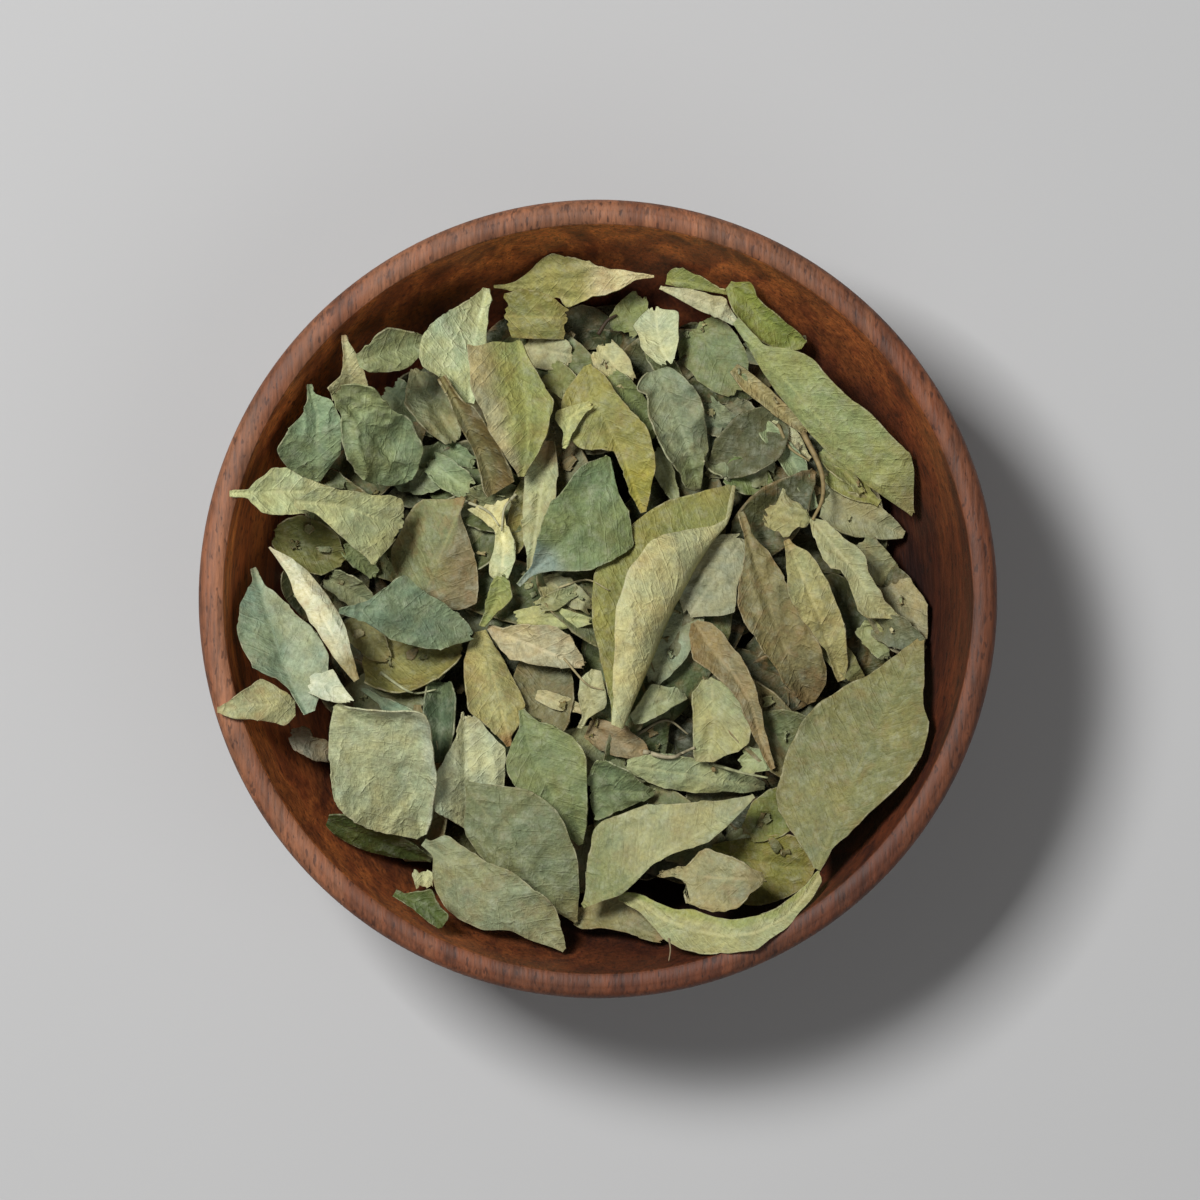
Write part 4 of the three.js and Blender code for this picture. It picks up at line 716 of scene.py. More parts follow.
def along_line(pairs, t):
    """Value at t of a line through pairs of tenths and millimetres, its corners eased."""
    line = np.array(pairs, float).reshape(-1, 2)
    return sum(np.interp(10 * t + shift, line[:, 0], line[:, 1]) for shift in (-0.12, 0, 0.12)) / 3


def leaf_surface(spec, t, s, crumple=0.0, ragged=0.0, seed=0):
    """Upper surface of a leaf at t of its length and s across it, -1 at the right margin and 1 at the left.

    Returns points, and the millimetres along and across each point. Without crumple it is the form of the CAD
    solid. With it the margins are the real ones, the blade is puckered and its margin curls. Ragged bites the
    margin and the broken ends.
    """
    bx, by, tx, ty, left, right, l0, l1, r0, r1, arch, bow, cut0, cut1 = spec[1:15]
    length = math.hypot(tx - bx, ty - by)
    dx, dy = (tx - bx) / length, (ty - by) / length
    if ragged:
        tear = 0.9 + value_noise(s * 2.3 + 9, s * 0, seed + 5) + 0.7 * value_noise(s * 6, s * 0, seed + 6)
        tear = ragged * tear
        if cut1 < 0.97:
            t = t * (1 - tear / length)
        if cut0 > 0.08:
            t = t + (1 - t) * tear / length
    u = cut0 + (cut1 - cut0) * t
    swell = np.sin(np.pi * t)
    ends = np.where(t < 0.5, STALK_HALF_WIDTH, TIP_HALF_WIDTH)
    share = np.abs(s)
    run_l, rise_l = half_section(l0, l1, share)
    run_r, rise_r = half_section(r0, r1, share)
    full_l, full_r = half_section(l0, l1, 1.0)[0], half_section(r0, r1, 1.0)[0]
    half = np.where(s >= 0, abs(left), abs(right)) * outline(u)
    middle = bow * swell
    if crumple and spec[0] in MARGINS:
        edge_l, edge_r, rib = (along_line(pairs, t) for pairs in MARGINS[spec[0]])
        half, middle = np.where(s >= 0, np.abs(edge_l - rib), np.abs(rib - edge_r)), rib
        ends, ragged = 0.12, 0.45 * ragged
    if ragged:
        bite = value_noise(t * length / 3.1 + 3, np.sign(s) * 7.0 + 20, seed + 3)
        nick = value_noise(t * length / 1.1 + 3, np.sign(s) * 7.0 + 20, seed + 4)
        half = np.maximum(half + ragged * (0.55 * bite + 0.3 * nick - 0.2) * np.clip(half / 2, 0, 1), 0)
    wide = np.maximum(half, ends) / np.where(s >= 0, abs(full_l), abs(full_r))
    side = np.where(s >= 0, run_l, -run_r) * wide
    up = arch * swell + np.where(s >= 0, rise_l, rise_r) * wide
    across = np.sign(s) * share * wide
    if crumple:
        free = np.clip(np.minimum(t, 1 - t) * 6, 0, 1)
        up = up + free * puckers(t * length, across, crumple, seed) + side_veins(t * length, across, wide)
        up = up - 0.14 * np.exp(-(across / 0.35) ** 2)
        side_seed = np.sign(s) * 7.0 + 40
        curl = 0.5 * value_noise(t * length / 4.5, side_seed, seed + 7)
        curl = curl + 0.2 * value_noise(t * length / 1.5, side_seed, seed + 8)
        up = up + free * crumple * curl * share ** 5 * np.clip(half / 3, 0, 1) * 1.6
    y = middle + side
    points = np.stack([bx + dx * length * t - dy * y, by + dy * length * t + dx * y, up], -1)
    return points, t * length, across


def sheet_normals(points):
    """Unit normals of a grid of points, upward for a flat blade: dP/di x dP/dj."""
    n = np.cross(np.gradient(points, axis=0), np.gradient(points, axis=1))
    return n / np.maximum(np.linalg.norm(n, axis=-1, keepdims=True), 1e-9)


def sheet_faces(rows, columns):
    """Quads of a closed sheet: an upper grid, a lower grid of the same order, and the band between them."""
    i, j = np.meshgrid(np.arange(rows - 1), np.arange(columns - 1), indexing="ij")
    a = (i * columns + j).ravel()
    low = rows * columns
    top = np.stack([a, a + columns, a + columns + 1, a + 1], 1)
    under = np.stack([a + low, a + low + 1, a + low + columns + 1, a + low + columns], 1)
    r = np.arange(rows - 1) * columns
    c = np.arange(columns - 1)
    right = np.stack([r, r + low, r + low + columns, r + columns], 1)
    e = r + columns - 1
    left = np.stack([e + low, e, e + columns, e + columns + low], 1)
    start = np.stack([c, c + 1, c + 1 + low, c + low], 1)
    f = (rows - 1) * columns + c
    end = np.stack([f + 1, f, f + low, f + 1 + low], 1)
    return np.vstack([top, under, right, left, start, end])


def cad_stations(spec, plain=False):
    """The lengthways and crossways places of the CAD solid's upper grid."""
    length = math.hypot(spec[3] - spec[1], spec[4] - spec[2])
    t = SMALL_STATIONS if plain or length < SMALL_LENGTH else LEAF_STATIONS
    folded = abs(spec[8] - spec[7]) > 30 or abs(spec[10] - spec[9]) > 30 or max(spec[5], spec[6]) > 6
    s = [-1, -0.55, 0, 0.55, 1] if folded else [-1, 0, 1]
    return np.meshgrid(t, s, indexing="ij")


def grid_tree(points):
    """Ray tree of a grid of points, each square split as in the CAD solid."""
    rows, columns = points.shape[:2]
    a = (np.arange(rows - 1)[:, None] * columns + np.arange(columns - 1)).ravel()
    faces = np.stack([a, a + columns, a + columns + 1, a, a + columns + 1, a + 1], 1).reshape(-1, 3)
    return BVHTree.FromPolygons(points.reshape(-1, 3).tolist(), faces.tolist())


def node_tree(node):
    """Ray tree of a CAD node in millimetres."""
    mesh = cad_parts[node].data
    co = np.empty(len(mesh.vertices) * 3)
    mesh.vertices.foreach_get("co", co)
    return BVHTree.FromPolygons((co.reshape(-1, 3) / MM).tolist(), [tuple(p.vertices) for p in mesh.polygons])


def cast(tree, x, y):
    """Point of the tree met by a ray straight down at x, y, or None, and the number of its face."""
    hit, _, face, _ = tree.ray_cast(Vector((x, y, CAST_HEIGHT)), Vector((0, 0, -1)))
    return hit, face


def lean(spec, tree):
    """Plane z = a + b x + c y that the CAD leaf was leaned and lifted by, from the height of its solid.

    Where other leaves of the same node cover it the heights don't fit, so the plane that most of them fit is
    taken, and then fitted to those by least squares.
    """
    t, s = cad_stations(spec)
    flat = grid_tree(leaf_surface(spec, t, s)[0])
    t, s = np.meshgrid(np.linspace(0.07, 0.93, 17), np.linspace(-0.9, 0.9, 11), indexing="ij")
    rows = []
    for x, y, _ in leaf_surface(spec, t, s)[0].reshape(-1, 3):
        mine, cad = cast(flat, x, y)[0], cast(tree, x, y)[0]
        if mine is not None and cad is not None:
            rows.append((1.0, x, y, cad.z - mine.z))
    rows = np.array(rows)
    draw = np.random.RandomState(7)
    best = None
    for _ in range(LEAN_TRIES):
        pick = rows[draw.choice(len(rows), 3, replace=False)]
        if abs(np.linalg.det(pick[:, :3])) < 5:
            continue
        plane = np.linalg.solve(pick[:, :3], pick[:, 3])
        good = np.abs(rows[:, :3] @ plane - rows[:, 3]) < LEAN_TOLERANCE
        if best is None or good.sum() > best.sum():
            best = good
    return np.linalg.lstsq(rows[best, :3], rows[best, 3], rcond=None)[0]


def laid(points, plane):
    """Points leaned and lifted by the plane."""
    out = points.copy()
    out[..., 2] += plane[0] + plane[1] * points[..., 0] + plane[2] * points[..., 1]
    return out


def leaf_shell(spec, plane, rows, columns, crumple, ragged, seed):
    """Points of a closed thin leaf, and for each its millimetres along and across and its place t, s, face.

    Rows and columns crowd towards the ends and margins, as (1 + sin v) / 2 and sin v for even v.
    """
    t, s = np.meshgrid(np.sin(np.linspace(-np.pi / 2, np.pi / 2, rows)) / 2 + 0.5,
                       np.sin(np.linspace(-np.pi / 2, np.pi / 2, columns)), indexing="ij")
    flat, along, across = leaf_surface(spec, t, s, crumple, ragged, seed)
    normal = sheet_normals(flat)
    rib = RIB_DEPTH * np.exp(-(across / 0.5) ** 2) * (1 - 0.8 * t)
    middle = CAD_THICKNESS / 2
    upper = flat - normal * (middle - LEAF_THICKNESS / 2)
    lower = flat - normal * (middle + LEAF_THICKNESS / 2 + rib[..., None])
    points = np.vstack([laid(upper, plane).reshape(-1, 3), laid(lower, plane).reshape(-1, 3)])
    uv = np.stack([along, across], -1).reshape(-1, 2)
    place = np.stack([t, s], -1).reshape(-1, 2)
    face = np.repeat([1.0, 0.0], len(uv))[:, None]
    return points, np.vstack([uv, uv]), np.hstack([np.vstack([place, place]), face])


def leaf_object(name, shells, faces, colours, browns, material):
    """One object of one or more leaf shells, with a UV map in centimetres and attributes tint and blade."""
    points = np.vstack([shell[0] for shell in shells])
    count = len(shells[0][0])
    all_faces = np.vstack([faces + k * count for k in range(len(shells))])
    thing = new_object(name, points, all_faces.tolist(), material)
    mesh = thing.data
    tint = np.vstack([np.where(shell[2][:, 2:3] > 0.5, np.array([linear(top)]), np.array([linear(under)]))
                      for shell, (top, under) in zip(shells, colours)])
    blade = np.vstack([np.stack([shell[2][:, 0], np.abs(shell[2][:, 1]), np.full(count, brown)], 1)
                       for shell, brown in zip(shells, browns)])
    mesh.attributes.new("tint", "FLOAT_COLOR", "POINT").data.foreach_set("color", tint.ravel())
    mesh.attributes.new("blade", "FLOAT_VECTOR", "POINT").data.foreach_set("vector", blade.ravel())
    uv = np.vstack([shell[1] for shell in shells]) / 10
    loops = np.empty(len(mesh.loops), int)
    mesh.loops.foreach_get("vertex_index", loops)
    mesh.uv_layers.new(name="UVMap").data.foreach_set("uv", uv[loops].ravel())
    return thing


def blend_colours(mesh, shell, name):
    """Bring the second colour of a leaf in by 3w^2 - 2w^3 over a quarter of its length or width."""
    second, end, start = SECOND_COLOURS[name]
    t, s, face = shell[2].T
    q = {"base": 1 - t, "tip": t, "left": (1 + s) / 2, "right": (1 - s) / 2}[end]
    q = q + 0.08 * value_noise(shell[1][:, 0] / 3, shell[1][:, 1] / 3, 77)
    w = np.clip((q - start) / 0.25, 0, 1)
    w = (w * w * (3 - 2 * w) * face)[:, None]
    data = mesh.attributes["tint"].data
    tint = np.empty(4 * len(t))
    data.foreach_get("color", tint)
    data.foreach_set("color", (tint.reshape(-1, 4) * (1 - w) + np.array([linear(second)]) * w).ravel())


def leaf_material():
    """Dried leaf blade: matt, faintly waxy, mottled with warm, cool and brown patches and a browned tip.

    Drying leaves the midrib and side veins a little paler, streaks between them, a fine net of small veins,
    creases and a dusty bloom in patches. A thin pale margin, broken here and there, is a painted highlight of
    the curled edges.
    """
    material, tree, shader = new_material("dried_leaf", 0.6, 1.4)
    place = add(tree, "ShaderNodeTexCoord").outputs["Object"]
    tint = add(tree, "ShaderNodeAttribute", attribute_name="tint").outputs["Color"]
    blade = add(tree, "ShaderNodeAttribute", attribute_name="blade").outputs["Vector"]
    blade = add(tree, "ShaderNodeSeparateXYZ", {"Vector": blade})
    uv = add(tree, "ShaderNodeUVMap", uv_map="UVMap").outputs["UV"]
    uv = add(tree, "ShaderNodeSeparateXYZ", {"Vector": uv})
    along, across = uv.outputs["X"], math_node(tree, "ABSOLUTE", uv.outputs["Y"])
    warp = noise(tree, place, 260, 2)
    hue = noise(tree, place, 115, 3, 0.6)
    shade = noise(tree, scaled(tree, place, (1, 1, 0.5)), 240, 4, 0.6)
    speck = noise(tree, place, 1500, 3, 0.65)
    bloom = noise(tree, place, 420, 5, 0.7)
    warm = mix(tree, 1.0, tint, (1.1, 1.02, 0.84, 1), "MULTIPLY")
    cool = mix(tree, 1.0, tint, (0.9, 0.99, 1.03, 1), "MULTIPLY")
    colour = mix(tree, ramp(tree, hue, [(0.36, 0.0), (0.64, 1.0)]), cool, warm)
    colour = mix(tree, 0.55, colour, ramp(tree, shade, [(0.32, 0.33), (0.68, 0.65)]), "OVERLAY")
    colour = mix(tree, 0.5, colour, ramp(tree, speck, [(0.3, 0.3), (0.5, 0.5), (0.7, 0.7)]), "OVERLAY")
    colour = mix(tree, ramp(tree, bloom, [(0.5, 0.0), (0.72, 0.35)]), colour, "#b9bda4")
    bend = add(tree, "ShaderNodeTexNoise", {"Vector": place, "Scale": 300, "Detail": 2}).outputs["Color"]
    bend = scaled(tree, bend, (0.004, 0.004, 0.004))
    bent = add(tree, "ShaderNodeVectorMath", {0: place, 1: bend}, operation="ADD").outputs[0]
    fold = add(tree, "ShaderNodeTexVoronoi", {"Vector": bent, "Scale": 190}, feature="DISTANCE_TO_EDGE")
    fold = rescaled(tree, fold.outputs["Distance"], 0.0, 0.14, 1.0, 0.0)
    fold = times(tree, math_node(tree, "POWER", fold, 2.0), ramp(tree, shade, [(0.4, 0.0), (0.6, 1.0)]))
    ahead = math_node(tree, "SUBTRACT", along, times(tree, across, 0.9))
    streak = {"X": ahead, "Y": times(tree, uv.outputs["Y"], 0.3), "Z": hue}
    grain = noise(tree, add(tree, "ShaderNodeCombineXYZ", streak).outputs[0], 11, 4, 0.65)
    colour = mix(tree, 0.35, colour, ramp(tree, grain, [(0.32, 0.3), (0.5, 0.5), (0.68, 0.7)]), "OVERLAY")
    phase = plus(tree, times(tree, ahead, 10 / VEIN_SPACING), times(tree, warp, 0.5))
    gap = math_node(tree, "ABSOLUTE", math_node(tree, "SUBTRACT", math_node(tree, "FRACT", phase), 0.5))
    side = rescaled(tree, gap, 0.0, 0.07, 1.0, 0.0)
    middle = rescaled(tree, across, 0.01, 0.03, 1.0, 0.0)
    middle = times(tree, middle, ramp(tree, warp, [(0.38, 0.15), (0.6, 1.0)]))
    net = add(tree, "ShaderNodeTexVoronoi", {"Vector": place, "Scale": 900}, feature="DISTANCE_TO_EDGE")
    net = rescaled(tree, net.outputs["Distance"], 0.0, 0.12, 1.0, 0.0)
    vein = mix(tree, 1.0, tint, (1.4, 1.36, 1.34, 1), "MULTIPLY")
    for lines, share in ((net, 0.14), (side, 0.3), (fold, 0.16), (middle, 0.62)):
        colour = mix(tree, times(tree, lines, share), colour, vein)
    # Painted highlight: a thin pale line along the margins, broken by noise, for light caught on the curled
    # edges.
    margin = rescaled(tree, blade.outputs["Y"], 0.955, 0.99)
    margin = times(tree, margin, ramp(tree, noise(tree, place, 600, 3), [(0.45, 0.0), (0.65, 0.55)]))
    colour = mix(tree, margin, colour, "#c6c3a0")
    rim = rescaled(tree, blade.outputs["Y"], 0.85, 1.0)
    tip = rescaled(tree, blade.outputs["X"], 0.86, 1.0)
    spots = ramp(tree, noise(tree, place, 330, 4, 0.6), [(0.5, 0.0), (0.66, 1.0)])
    edge = math_node(tree, "MAXIMUM", times(tree, rim, 0.5), tip)
    brown = plus(tree, times(tree, edge, 0.7), times(tree, spots, 0.6))
    brown = math_node(tree, "MULTIPLY", brown, times(tree, blade.outputs["Z"], 1.2), clamp=True)
    colour = mix(tree, brown, colour, "#94744a")
    tree.links.new(colour, shader.inputs["Base Color"])
    relief = times(tree, noise(tree, place, 420, 5, 0.55), 2.0)
    for lines, share in ((net, 0.12), (fold, 0.6), (grain, 0.7), (side, 0.25)):
        relief = plus(tree, relief, times(tree, lines, share))
    bump = add(tree, "ShaderNodeBump", {"Height": relief, "Strength": 0.9, "Distance": 0.0003})
    tree.links.new(bump.outputs["Normal"], shader.inputs["Normal"])
    return material


def paler(colour, by):
    """Hex colour mixed towards a pale grey green."""
    parts = [int(colour[i:i + 2], 16) for i in (1, 3, 5)]
    return "#%02x%02x%02x" % tuple(round(c + (g - c) * by) for c, g in zip(parts, (196, 198, 164)))


LEAF = leaf_material()
placed = []


def make_leaf(spec, tree, node, seed):
    """A visible leaf in the place of its CAD solid."""
    colour, crumple, ragged, brown = spec[15:19]
    length = math.hypot(spec[3] - spec[1], spec[4] - spec[2])
    grid = LEAF_GRID if length > SMALL_LENGTH else SMALL_GRID
    shell = leaf_shell(spec, lean(spec, tree), *grid, CRUMPLE_GAIN * crumple, ragged, seed)
    colours = [(colour, UNDERSIDES.get(spec[0], paler(colour, 0.3)))]
    leaf = leaf_object("fine_leaf_" + spec[0], [shell], sheet_faces(*grid), colours, [brown], LEAF)
    if spec[0] in SECOND_COLOURS:
        blend_colours(leaf.data, shell, spec[0])
    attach(leaf, "root")
    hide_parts(node)
    placed.append((shell[0], sheet_faces(*grid), node == "heap"))


def make_scrap(k, row):
    """A broken piece that lies on the heap, on the plane that fits the heap's height below it."""
    spec = ("scrap_%d" % k, *row)
    points = leaf_surface(spec, *cad_stations(spec, True))[0].reshape(-1, 3)
    hits = [cast(heap_tree, x, y)[0] for x, y, _ in points]
    rows = np.array([(1, x, y, hit.z - z) for (x, y, z), hit in zip(points, hits) if hit is not None])
    plane = np.linalg.lstsq(rows[:, :3], rows[:, 3], rcond=None)[0]
    slope = np.hypot(plane[1], plane[2])
    if slope > SCRAP_SLOPE:
        plane[1:] *= SCRAP_SLOPE / slope
    plane[0] += np.percentile(rows[:, 3] - rows[:, :3] @ plane, 88) + SCRAP_LIFT
    colour, crumple, ragged, brown = row[14:]
    shell = leaf_shell(spec, plane, *SMALL_GRID, CRUMPLE_GAIN * crumple, ragged, 3000 + 10 * k)
    colours = [(colour, paler(colour, 0.3))]
    leaf = leaf_object("fine_" + spec[0], [shell], sheet_faces(*SMALL_GRID), colours, [brown], LEAF)
    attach(leaf, "root")
    placed.append((shell[0], sheet_faces(*SMALL_GRID), True))


heap_tree = node_tree("heap")
for k, spec in enumerate(LOW_LEAVES):
    make_leaf(spec, heap_tree, "heap", 100 + 10 * k)
for k, spec in enumerate(HIGH_LEAVES):
    node = "leaf_" + spec[0]
    make_leaf(spec, node_tree(node), node, 900 + 10 * k)
for k, row in enumerate(SCRAPS):
    make_scrap(k, row)

# Filling
# The leaves under the visible ones. They only show as dim edges in the gaps, and their colours are darkened
# as painted shade. The upper ones lie as in the CAD heap, by the same seeded rule. More lie loose below them
# down to the floor, and small ones along the wall.

CORE_TOP = [(54.2, 26.5), (44, 27), (25, 28.5), (0, 29)]
CORE_REACH = 54
HIDDEN_LEAVES = 34
HIDDEN_SEED = 20240611
HIDDEN_REACH = 50
DEEP_LEAVES = 170
DEEP_REACH = 54
DEEP_TOP = 32
WALL_LEAVES = 120
WALL_TOP = 35
# Colours of the filling, darkened as painted shade of the gaps: the upper ones dark olive, the deep ones and
# those along the wall near black.
UPPER_SHADED_COLOURS = ("#5f6944", "#6a6f4a", "#535d39", "#747855", "#4b5433", "#6f6c4c")
DEEP_SHADED_COLOURS = ("#3f4528", "#4a4a2a", "#34391e", "#4f5236", "#2b2f17", "#56583c")


def bowl_top(x, y):
    """Height of the bowl's upper surface."""
    r, z = zip(*INNER_PROFILE[::-1])
    return np.interp(np.hypot(x, y), r, z)


def drawer(seed):
    """Seeded draws between 0 and 1."""
    state = seed
    while True:
        state = state * 48271 % 2147483647
        yield state / 2147483647


def plan_line(angle, radius, heading, half):
    """Middle x y of a leaf at an angle and radius about the axis, and the x y of its base and of its tip."""
    x, y = radius * math.cos(angle), radius * math.sin(angle)
    ex, ey = half * math.cos(heading), half * math.sin(heading)
    return x, y, (x - ex, y - ey, x + ex, y + ey)


def leaned(x, y, z, b, c):
    """Plane with slopes b and c that is z high at x, y."""
    return np.array([z - b * x - c * y, b, c])


def coarse(spec, plane):
    """The upper surface of a leaf in its place, on the CAD's few stations."""
    return laid(leaf_surface(spec, *cad_stations(spec, True))[0], plane)


def hidden_leaf(draw):
    """Form and plane of one leaf of the upper filling, drawn in the CAD's order."""
    angle = 2 * math.pi * next(draw)
    radius = HIDDEN_REACH * math.sqrt(next(draw))
    heading = 2 * math.pi * next(draw)
    x, y, line = plan_line(angle, radius, heading, 9 + 6 * next(draw))
    fold = 35 * next(draw)
    b, c = 0.8 * (next(draw) - 0.5), 0.8 * (next(draw) - 0.5)
    rise = 0.5 + 3.5 * next(draw)
    spec = ("", *line, 5.5, 5.5, fold, fold - 10, fold / 2, fold, 1.5, 0, 0.03, 1)
    r, z = zip(*CORE_TOP[::-1])
    plane = leaned(x, y, np.interp(min(radius, CORE_REACH), r, z) + rise, b, c)
    upper = leaf_surface(spec, *cad_stations(spec, True))[0]
    lower = upper - CAD_THICKNESS * sheet_normals(upper)
    points = laid(np.vstack([upper, lower]), plane)
    plane[0] += max(0, (bowl_top(points[..., 0], points[..., 1]) + 0.6 - points[..., 2]).max())
    return spec, plane


def fill_shells(pairs, rows, columns, crumple, seed):
    """Thin leaves of the forms and planes given."""
    return [leaf_shell(spec, plane, rows, columns, crumple, 0.3, seed + 10 * k)
            for k, (spec, plane) in enumerate(pairs)]


def is_in_heap(spec, plane):
    """Whether the CAD heap, which left out the loose ones, is nowhere lower than this hidden leaf."""
    points = coarse(spec, plane)[1:-1, 1:-1].reshape(-1, 3)
    hits = [cast(heap_tree, x, y)[0] for x, y, _ in points]
    return all(hit is not None and hit.z > z - 0.3 for hit, (_, _, z) in zip(hits, points))


def is_covered(points):
    """Whether no point stands out of the CAD heap where the heap is."""
    hits = [cast(heap_tree, x, y)[0] for x, y, _ in points]
    return all(hit is None or hit.z > z + 0.3 for hit, (_, _, z) in zip(hits, points))


def is_clear(points, gap, top):
    """Whether all points are more than the gap above the bowl and below the top."""
    heights = points[..., 2]
    return (heights - gap > bowl_top(points[..., 0], points[..., 1])).all() and heights.max() < top


def deep_leaf(draw):
    """Form and plane of a leaf below the upper ones, or None where it would touch the bowl or be too high."""
    angle, radius = draw.uniform(0, 6.283), DEEP_REACH * math.sqrt(draw.uniform())
    heading, half, fold = draw.uniform(0, 6.283), draw.uniform(7, 14), draw.uniform(-25, 35)
    z = draw.uniform(11, 28)
    x, y, line = plan_line(angle, radius, heading, half)
    spec = ("", *line, 5.2, 5.2, fold, fold, fold, fold, 1.2, 0, 0.03, 1)
    plane = leaned(x, y, z, *draw.uniform(-0.3, 0.3, 2))
    return (spec, plane) if is_clear(coarse(spec, plane), 1.5, DEEP_TOP) else None


def wall_leaf(draw):
    """Form and plane of a leaf that leans on the wall, or None where it would touch it or stand out."""
    angle, radius, turn = draw.uniform(0, 6.283), draw.uniform(43, 61), draw.uniform(-0.7, 0.7)
    half, fold, rise = draw.uniform(4, 8), draw.uniform(-30, 40), draw.uniform(1.5, 9)
    x, y, line = plan_line(angle, radius, angle + math.pi / 2 + turn, half)
    spec = ("", *line, 4, 4, fold, fold, fold, fold, 1, 0, 0.03, 1)
    slope = draw.uniform(0.2, 0.8)
    plane = leaned(x, y, bowl_top(x, y) + rise, slope * math.cos(angle), slope * math.sin(angle))
    points = coarse(spec, plane)
    return (spec, plane) if is_clear(points, 1.4, WALL_TOP) and is_covered(points.reshape(-1, 3)) else None


def gathered(make, draw, count):
    """The first so many leaves that make(draw) gives, each None left out."""
    found = []
    while len(found) < count:
        leaf = make(draw)
        if leaf:
            found.append(leaf)
    return found


draw = drawer(HIDDEN_SEED)
upper_fill = [leaf for leaf in (hidden_leaf(draw) for _ in range(HIDDEN_LEAVES)) if is_in_heap(*leaf)]
draw = np.random.RandomState(31)
deep_fill = gathered(deep_leaf, draw, DEEP_LEAVES)
wall_fill = gathered(wall_leaf, draw, WALL_LEAVES)
for name, pairs, grid, seed, tones in (("fill_wall", wall_fill, (20, 11), 6000, DEEP_SHADED_COLOURS),
                                       ("fill_upper", upper_fill, (26, 13), 5000, UPPER_SHADED_COLOURS),
                                       ("fill_deep", deep_fill, (12, 7), 7000, DEEP_SHADED_COLOURS)):
    shells = fill_shells(pairs, *grid, 0.7, seed)
    pick = np.random.RandomState(seed)
    colours = [(tones[k], paler(tones[k], 0.25)) for k in pick.randint(0, len(tones), len(pairs))]
    browns = pick.uniform(0.1, 0.7, len(pairs))
    fill = leaf_object(name, shells, sheet_faces(*grid), colours, browns, LEAF)
    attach(fill, "root")
    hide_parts("heap")
    if name == "fill_upper":
        placed += [(shell[0], sheet_faces(*grid), True) for shell in shells]

# Crumbs and stalks
# Flakes and slivers broken off the dry blades, and hair-thin leaf stalks and midribs stripped of their blade.
# They lie loose where they fell, each lowered onto what is under it.

CRUMBS = 55
CRUMB_REACH = 57
CRUMB_SLOPE = 0.9
CRUMB_GRID = (12, 7)
CRUMB_COLOURS = ("#9c9a70", "#858861", "#b0ac86", "#6f6a3f", "#7a6d4a", "#8b916c", "#5f603c")
# Plan line in mm, radius in mm and colour.
STALKS = [
    ([(36.5, 29.5), (39.5, 23), (39.8, 18), (38, 14)], 0.45, "#8b7a52"),
    ([(12.4, -59.5), (12.7, -61.5), (12.4, -63.5)], 0.15, "#8a7a5c"),
    ([(0, 47), (1.6, 49.4), (3.3, 50.5)], 0.35, "#3a2c1a"),
    ([(-23.5, 17.3), (-19.5, 15.5), (-17.5, 13)], 0.25, "#b4b08c"),
    ([(-14.5, 18.5), (-16.5, 16), (-17, 12)], 0.25, "#b4b08c"),
    ([(8, -27), (13, -28), (17, -26.3)], 0.4, "#a39a7c"),
    ([(20, -29.2), (25, -30.6), (30, -31.6)], 0.3, "#9a9c74"),
    ([(32, 31), (34, 27), (37.5, 24.5)], 0.3, "#8f8258"),
    ([(-7, 2), (-2, 3.4), (2, 1.5)], 0.2, "#a39a72"),
    ([(-6, -10.5), (-2, -15), (1, -16)], 0.2, "#9c8f68"),
    ([(-38.5, -13), (-33, -16.5), (-28.5, -16)], 0.25, "#a9ab84"),
    ([(7, -24), (12, -21.5), (16, -24)], 0.25, "#8d8466"),
]
firsts = np.cumsum([0] + [len(points) for points, _, _ in placed])
cover = BVHTree.FromPolygons(
    np.vstack([points for points, _, _ in placed]).tolist(),
    np.vstack([faces + first for first, (_, faces, _) in zip(firsts, placed)]).tolist())
is_low = np.concatenate([np.full(len(faces), low) for _, faces, low in placed])


def height_at(x, y, low=False):
    """Point of what lies uppermost, or None over bare wood. With low, None too where that is a high leaf."""
    hit, face = cast(cover, x, y)
    return None if hit is None or (low and not is_low[face]) else hit


def crumb(draw):
    """Form and plane of one flake, or None on bare wood, on a high leaf and where it is too steep or open."""
    radius, angle = CRUMB_REACH * math.sqrt(draw.uniform()), draw.uniform(0, 6.283)
    heading = draw.uniform(0, 6.283)
    half = 0.4 + 1.7 * draw.uniform() ** 2
    width = half * draw.uniform(0.25, 0.7)
    x, y, line = plan_line(angle, radius, heading, half)
    ends = [(x + dx, y + dy) for dx, dy in ((-half, -half), (half, -half), (0, half))]
    heights = [height_at(*end, low=True) for end in ends]
    if any(height is None for height in heights):
        return None
    rows = np.array([(1, h.x, h.y) for h in heights])
    plane = np.linalg.solve(rows, np.array([h.z for h in heights]))
    turns = (0, 1.26, 2.51, 3.77, 5.03)
    around = [height_at(x + 5 * math.cos(turn), y + 5 * math.sin(turn)) for turn in turns]
    higher = sum(h is not None and h.z > max(height.z for height in heights) + 1.5 for h in around)
    if np.hypot(plane[1], plane[2]) > CRUMB_SLOPE or higher < 2:
        return None
    plane[0] += 0.65 + draw.uniform(0, 0.3)
    bend = draw.uniform(-30, 40)
    return ("", *line, width, width, bend, bend, bend, bend, 0.2, 0, 0.12, 0.95), plane


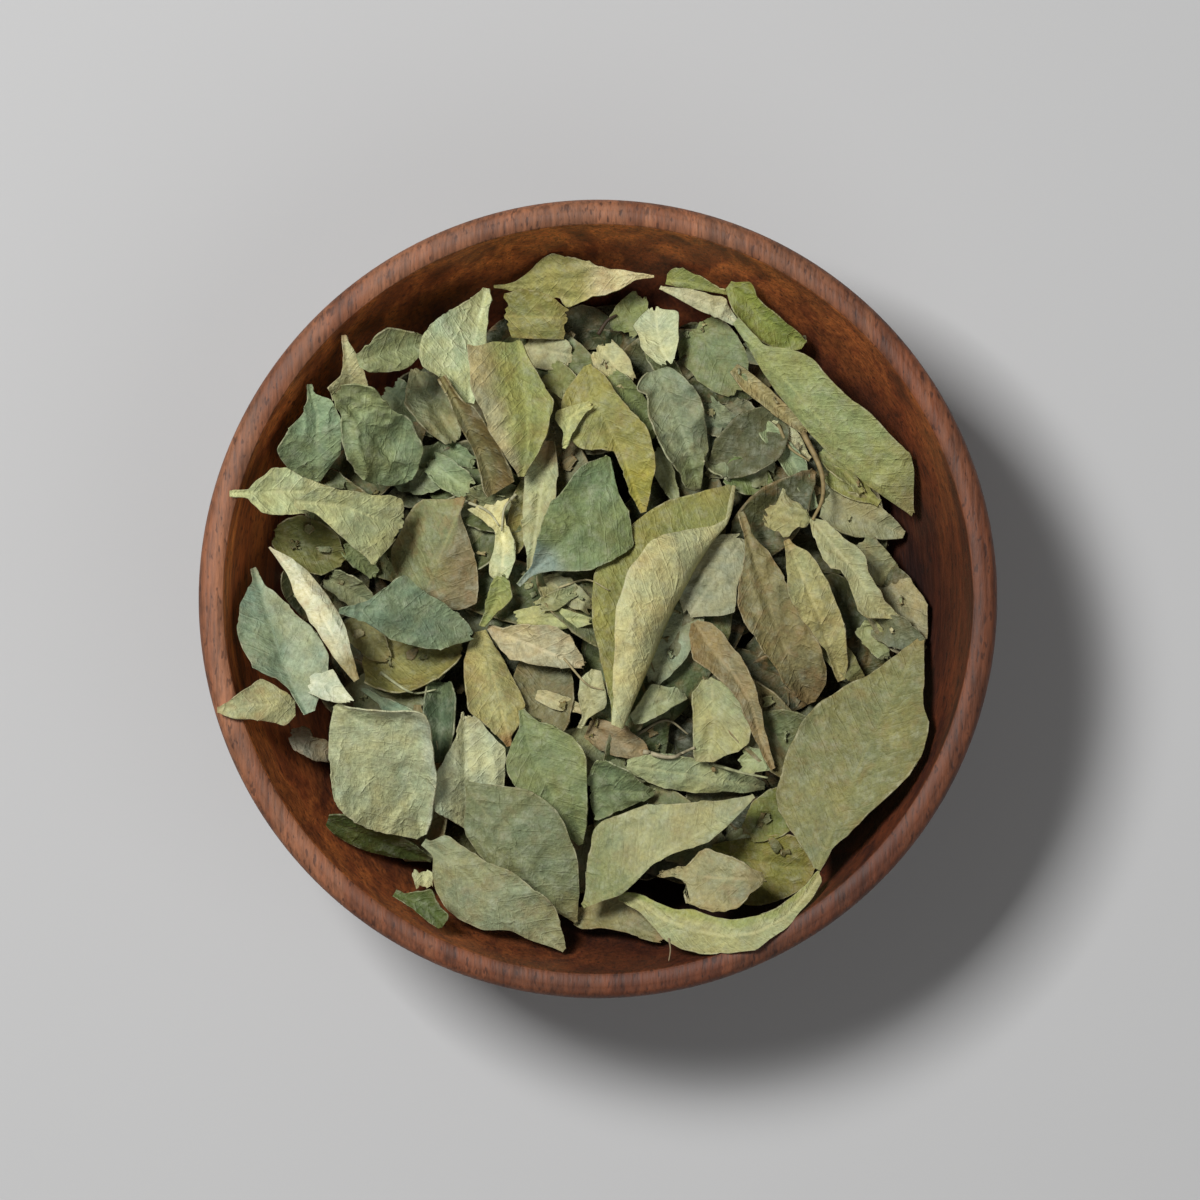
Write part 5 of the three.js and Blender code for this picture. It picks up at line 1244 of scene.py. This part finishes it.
def stalk(line, radius, sides=7):
    """Closed round rod along a plan line, tapered to its tip, at the evened height of what it lies on."""
    path = smooth_path(line, 8)
    z = np.array([hit.z if hit else np.nan for hit in (height_at(x, y) for x, y in path)])
    known = ~np.isnan(z)
    z = np.interp(np.arange(len(z)), np.arange(len(z))[known], z[known])
    padded = np.pad(z, 3, mode="edge")
    z = np.max([padded[k:k + len(z)] for k in range(7)], axis=0) * 0.5 + z * 0.5 + radius
    path = np.column_stack([path, z])
    ahead = np.gradient(path, axis=0)
    ahead /= np.linalg.norm(ahead, axis=1, keepdims=True)
    side = np.cross(ahead, (0, 0, 1))
    side /= np.linalg.norm(side, axis=1, keepdims=True)
    up = np.cross(side, ahead)
    around = np.linspace(0, 2 * np.pi, sides, endpoint=False)
    size = radius * np.linspace(1.2, 0.6, len(path))
    cos, sin = np.cos(around)[None, :, None], np.sin(around)[None, :, None]
    rings = path[:, None] + size[:, None, None] * (side[:, None] * cos + up[:, None] * sin)
    k, j = np.meshgrid(np.arange(len(path) - 1) * sides, np.arange(sides), indexing="ij")
    n = (j + 1) % sides
    quads = np.stack([k + sides + j, k + sides + n, k + n, k + j], -1).reshape(-1, 4)
    last = (len(path) - 1) * sides
    caps = [list(range(sides)), list(range(last, last + sides))[::-1]]
    return rings.reshape(-1, 3), quads.tolist() + caps


draw = np.random.RandomState(404)
shells = fill_shells(gathered(crumb, draw, CRUMBS), *CRUMB_GRID, 0.2, 8000)
colours = [(colour, colour) for colour in draw.choice(CRUMB_COLOURS, CRUMBS)]
browns = draw.uniform(0.1, 0.8, CRUMBS)
crumbs = leaf_object("crumbs", shells, sheet_faces(*CRUMB_GRID), colours, browns, LEAF)
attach(crumbs, "root")
for k, (line, radius, colour) in enumerate(STALKS):
    material, tree, shader = new_material("dry_stalk_%d" % k, 0.65, 1.45)
    place = add(tree, "ShaderNodeTexCoord").outputs["Object"]
    grain = ramp(tree, noise(tree, place, 900, 3), [(0.35, 0.3), (0.65, 0.7)])
    tree.links.new(mix(tree, 0.6, linear(colour), grain, "OVERLAY"), shader.inputs["Base Color"])
    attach(new_object("stalk_%d" % k, *stalk(line, radius), material), "root")

# Floor, light and camera
# A pale floor, a small key light high on the upper left, a weak broad fill on the lower right, and the camera
# straight above, far enough away for height to shift the leaves by about 1 mm at most.

FLOOR_REACH = 2000
FLOOR_TOP = -0.2
SENSOR_WIDTH = 36
VIEW_DISTANCE = 1.5
FRAME_WIDTH = 0.21
FRAME_CENTRE = (0.00035, -0.000175)


def light(name, place, target, size, power):
    """A square area light aimed at a point."""
    data = bpy.data.lights.new(name, "AREA")
    data.size = size
    data.energy = power
    lamp = bpy.data.objects.new(name, data)
    lamp.location = place
    lamp.rotation_euler = (Vector(target) - Vector(place)).to_track_quat("-Z", "Y").to_euler()
    bpy.context.collection.objects.link(lamp)
    return lamp


floor_material, _, floor_shader = new_material("pale_floor", 0.9)
floor_shader.inputs["Base Color"].default_value = linear("#bebebe")
corners = [(x * FLOOR_REACH, y * FLOOR_REACH, FLOOR_TOP) for x, y in ((-1, -1), (1, -1), (1, 1), (-1, 1))]
floor = new_object("floor", corners, [(0, 1, 2, 3)], floor_material, smooth=False)
light("key_light", (-0.45, 0.36, 1.12), (0, 0, 0.03), 0.3, 15.5)
light("fill_light", (0.45, -0.45, 0.95), (0, 0, 0.03), 0.8, 1.8)
bpy.context.scene.view_settings.view_transform = "Standard"
world = bpy.data.worlds.new("studio")
world.use_nodes = True
world.node_tree.nodes["Background"].inputs["Color"].default_value = (1, 1, 1, 1)
world.node_tree.nodes["Background"].inputs["Strength"].default_value = 0.09
bpy.context.scene.world = world

camera_data = bpy.data.cameras.new("camera")
camera_data.sensor_width = SENSOR_WIDTH
camera_data.lens = SENSOR_WIDTH * VIEW_DISTANCE / FRAME_WIDTH
camera = bpy.data.objects.new("camera", camera_data)
camera.location = (*FRAME_CENTRE, RIM_HEIGHT * MM + VIEW_DISTANCE)
bpy.context.collection.objects.link(camera)
bpy.context.scene.camera = camera
